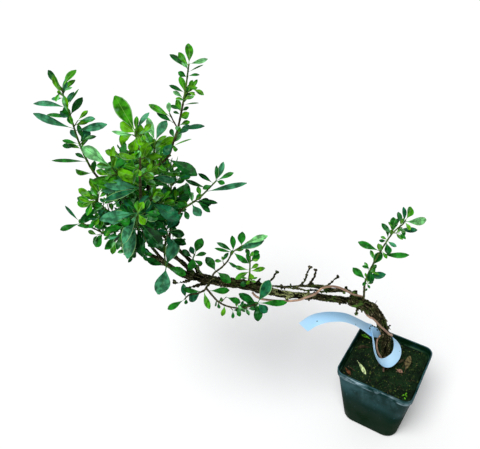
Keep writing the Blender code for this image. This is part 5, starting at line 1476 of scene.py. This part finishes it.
def ruled_leaves(mass, lines, shown):
    """The leaves in pairs, each pair square to the last, where no shown leaf has their place."""
    rng = random.Random(mass["seed"])
    droop = mass.get("droop", 58)
    found = []
    for k, (line, first, bare) in enumerate(lines):
        for i, place, t, (u, v), share, tip in pairs(mass, line, bare):
            turn = first + 90 * i + rng.uniform(-PAIR_TURN, PAIR_TURN)
            for extra, part in TIP_LEAVES if tip else TIP_LEAVES[:2]:
                angle = math.radians(turn + extra + rng.uniform(-LEAF_TURN, LEAF_TURN))
                lean = math.radians(rng.uniform(0.8, 1.2) * (TIP_DROOP * droop if tip else droop))
                out = math.cos(angle) * u + math.sin(angle) * v
                heading = math.cos(lean) * t + math.sin(lean) * out
                inner = np.cross(np.cross(t, out), heading)
                heading = let_down(heading, rng.uniform(0.2, 1.2))
                size = LEAF_GROWTH * mass["leaf"] * rng.uniform(0.8, 1.18) * part
                size *= 0.8 if tip else 0.88 + 0.24 * math.sin(math.pi * share)
                size *= SIDE_LEAF if k else 1.0
                upper = inner + rng.uniform(0.4, 1.2) * TO_LIGHT + 0.3 * TO_VIEWER
                upper = upper + rng.uniform(-0.5, 0.5) * np.cross(heading, inner)
                width = size * mass["wide"] * rng.uniform(0.8, 1.15)
                root = place + ROOT_OFFSET * out
                tone = mass["tone"] - 0.8 + (0.24 if tip else 1.6) * (1 - share)
                if mass.get("full") and abs(float(heading @ TO_VIEWER)) < TO_OR_FROM:
                    continue
                if all(
                    np.linalg.norm(root - leaf[0]) > NEAR_SHOWN * mass["gap"]
                    or float(heading @ leaf[1]) < APART_SHOWN
                    for leaf in shown
                ):
                    found.append((root, heading, upper, size, width, tone))
    return found


def fork_sprigs(mass, lines):
    """The short shoots in the leaves' forks: a twig, and its small leaves in a pair or two and a tip."""
    rng = random.Random(mass["seed"] + 1000)
    for k, (line, first, bare) in enumerate(lines):
        for i, place, t, (u, v), share, tip in pairs(mass, line, bare):
            for side in () if tip else (0, 180):
                if rng.random() > (0.12 if mass.get("full") else mass.get("buds", 0.9)):
                    continue
                angle = math.radians(first + 90 * i + side + rng.uniform(-25, 25))
                axis = 0.75 * t + 0.66 * (math.cos(angle) * u + math.sin(angle) * v)
                reach = rng.uniform(*SPRIG_REACH) * mass["leaf"]
                across = np.cross(axis, TO_LIGHT + 0.3 * PICTURE_RIGHT)
                across /= np.linalg.norm(across)
                young = []
                for at in (1.0, 0.45) if reach > 0.5 * mass["leaf"] else (1.0,):
                    for spread in (-1, 1, 0) if at == 1.0 else (-1, 1):
                        size = mass["leaf"] * rng.uniform(*SPRIG_LEAF) * (1 if spread else 0.8)
                        heading = axis + 0.85 * spread * across
                        heading = let_down(heading / np.linalg.norm(heading), 0.5)
                        upper = TO_LIGHT + 0.4 * TO_VIEWER
                        width = size * mass["wide"] * 1.1
                        young.append((place + at * reach * axis, heading, upper, size, width, mass["tone"] - 0.7))
                yield np.array([place, place + 0.5 * reach * axis, place + reach * axis]), young


def leaf_samples(leaf):
    """Points over a leaf's blade, for the tests of space."""
    root, heading, across, _, length, width = leaf_frame(leaf)
    points = []
    for along, half in LEAF_STATIONS:
        for side in (-1, 0, 1):
            points.append(root + along * length * heading + side * half * width * across)
    return np.array(points)


def nearest(points, others):
    return np.sqrt(((points[:, None, :] - others[None, :, :]) ** 2).sum(-1)).min(1)


def fitted(leaf, blades, gap=LEAF_GAP):
    """The leaf, made smaller if need be, or None where it has no room, with its blade's points."""
    near = blades[np.abs(blades - leaf[0]).max(1) < leaf[3] + 2 * gap]
    for shrink in (1.0, 0.85, 0.7):
        trial = (*leaf[:3], leaf[3] * shrink, leaf[4] * shrink, leaf[5])
        points = leaf_samples(trial)
        if len(near) and (nearest(points[3:], near) < gap).any():
            continue
        if all(
            (np.linalg.norm(points[:, None] - line[None], axis=-1) > half + LIMB_MARGIN).all()
            for _, line, half in LIMBS.values()
        ):
            return trial, points[3:]
    return None, None


def stalk(place, lines):
    """A fine twig to a leaf that stands away from its mass's lines."""
    line = min(lines, key=lambda row: np.linalg.norm(row - place, axis=1).min())
    row = int(np.linalg.norm(line - place, axis=1).argmin())
    return np.array([line[row], 0.5 * (line[row] + place) + 0.4 * TO_LIGHT, place])


def grown():
    """Each mass's twigs and leaves, no leaf through another or through a limb."""
    blades = np.full((1, 3), 9999.0)
    lines = {name: twig_lines(mass) for name, mass in MASSES.items()}
    shown = {}
    for name, mass in MASSES.items():
        shown[name] = []
        for leaf in shown_leaves(mass, lines[name][0][0]):
            kept, points = fitted(leaf, blades, 0)
            if kept:
                shown[name].append(kept)
                blades = np.concatenate([blades, points])
    for name, mass in MASSES.items():
        leaves = list(shown[name])
        for leaf in ruled_leaves(mass, lines[name], shown[name]):
            kept, points = fitted(leaf, blades)
            if kept:
                leaves.append(kept)
                blades = np.concatenate([blades, points])
        start = mass.get("thick", TWIG_START)
        twigs = [(line, SIDE_TWIG if k else start) for k, (line, _, _) in enumerate(lines[name])]
        fine = [smooth(line, FINE_STEP) for line, _, _ in lines[name]]
        for leaf in shown[name]:
            if min(np.linalg.norm(line - leaf[0], axis=1).min() for line in fine) > STALK_FROM:
                twigs.append((stalk(leaf[0], fine), SPRIG_TWIG))
        for twig, young in fork_sprigs(mass, lines[name]):
            count = len(leaves)
            for leaf in young:
                kept, points = fitted(leaf, blades, SPRIG_GAP)
                if kept:
                    leaves.append(kept)
                    blades = np.concatenate([blades, points])
            if len(leaves) > count:
                twigs.append((twig, SPRIG_TWIG))
        yield name, mass, twigs, leaves


def slots_for(tone, rng):
    """The slots of a leaf's two halves, from its named tone or from its age; an aged leaf's first half leans lighter
    and its second darker, as painted shade across its fold, and at times the first takes a painted sheen tone.
    """
    names = list(LEAF_TONES)
    if isinstance(tone, str):
        return names.index(tone), names.index(tone)
    tone += rng.uniform(-1.1, 1.1)
    aged_and_shaded_halves = [max(0, min(OLDEST, round(tone + swing))) for swing in (rng.uniform(-0.7, 0.3), rng.uniform(-0.3, 0.7))]
    if rng.random() < SHEEN_SHARE:
        return names.index(SHEENS[aged_and_shaded_halves[0]]), aged_and_shaded_halves[1]
    return tuple(aged_and_shaded_halves)


for name, mass, twig_rows, leaves in grown():
    rng = random.Random(mass["seed"] + 500)
    blades = bmesh.new()
    for leaf in leaves:
        halves = slots_for(leaf[5], rng)
        margins = (MARGIN_SLOT, MARGIN_SLOT) if rng.random() < MARGIN_SHARE else halves
        draw_leaf(blades, leaf, halves, RIB_SLOT + (halves[0] > 1), margins, rng)
    spray = put(f"{name}_leaves", blades, *leaf_finishes)
    twigs = bmesh.new()
    for line, thick in twig_rows:
        fine = smooth(line, 1.6)
        knots = 1 + 0.10 * np.sin(np.arange(len(fine)) * 1.7)
        sweep(twigs, fine, np.linspace(thick, min(thick, TWIG_END) * 0.9, len(fine)) * knots, 7)
    bmesh.ops.recalc_face_normals(twigs, faces=twigs.faces)
    foot = Vector(twig_rows[0][0][0]) * MM
    woody = mass.get("woody", 0.2) * lengths(twig_rows[0][0])[-1] * MM
    for face in twigs.faces:
        face.smooth = True
        face.material_index = int((face.calc_center_median() - foot).length < woody)
    twig = put(f"{name}_twigs", twigs, *twig_finishes)
    for piece in (spray, twig):
        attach(piece, "root")
    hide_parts(name)
    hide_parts(name)
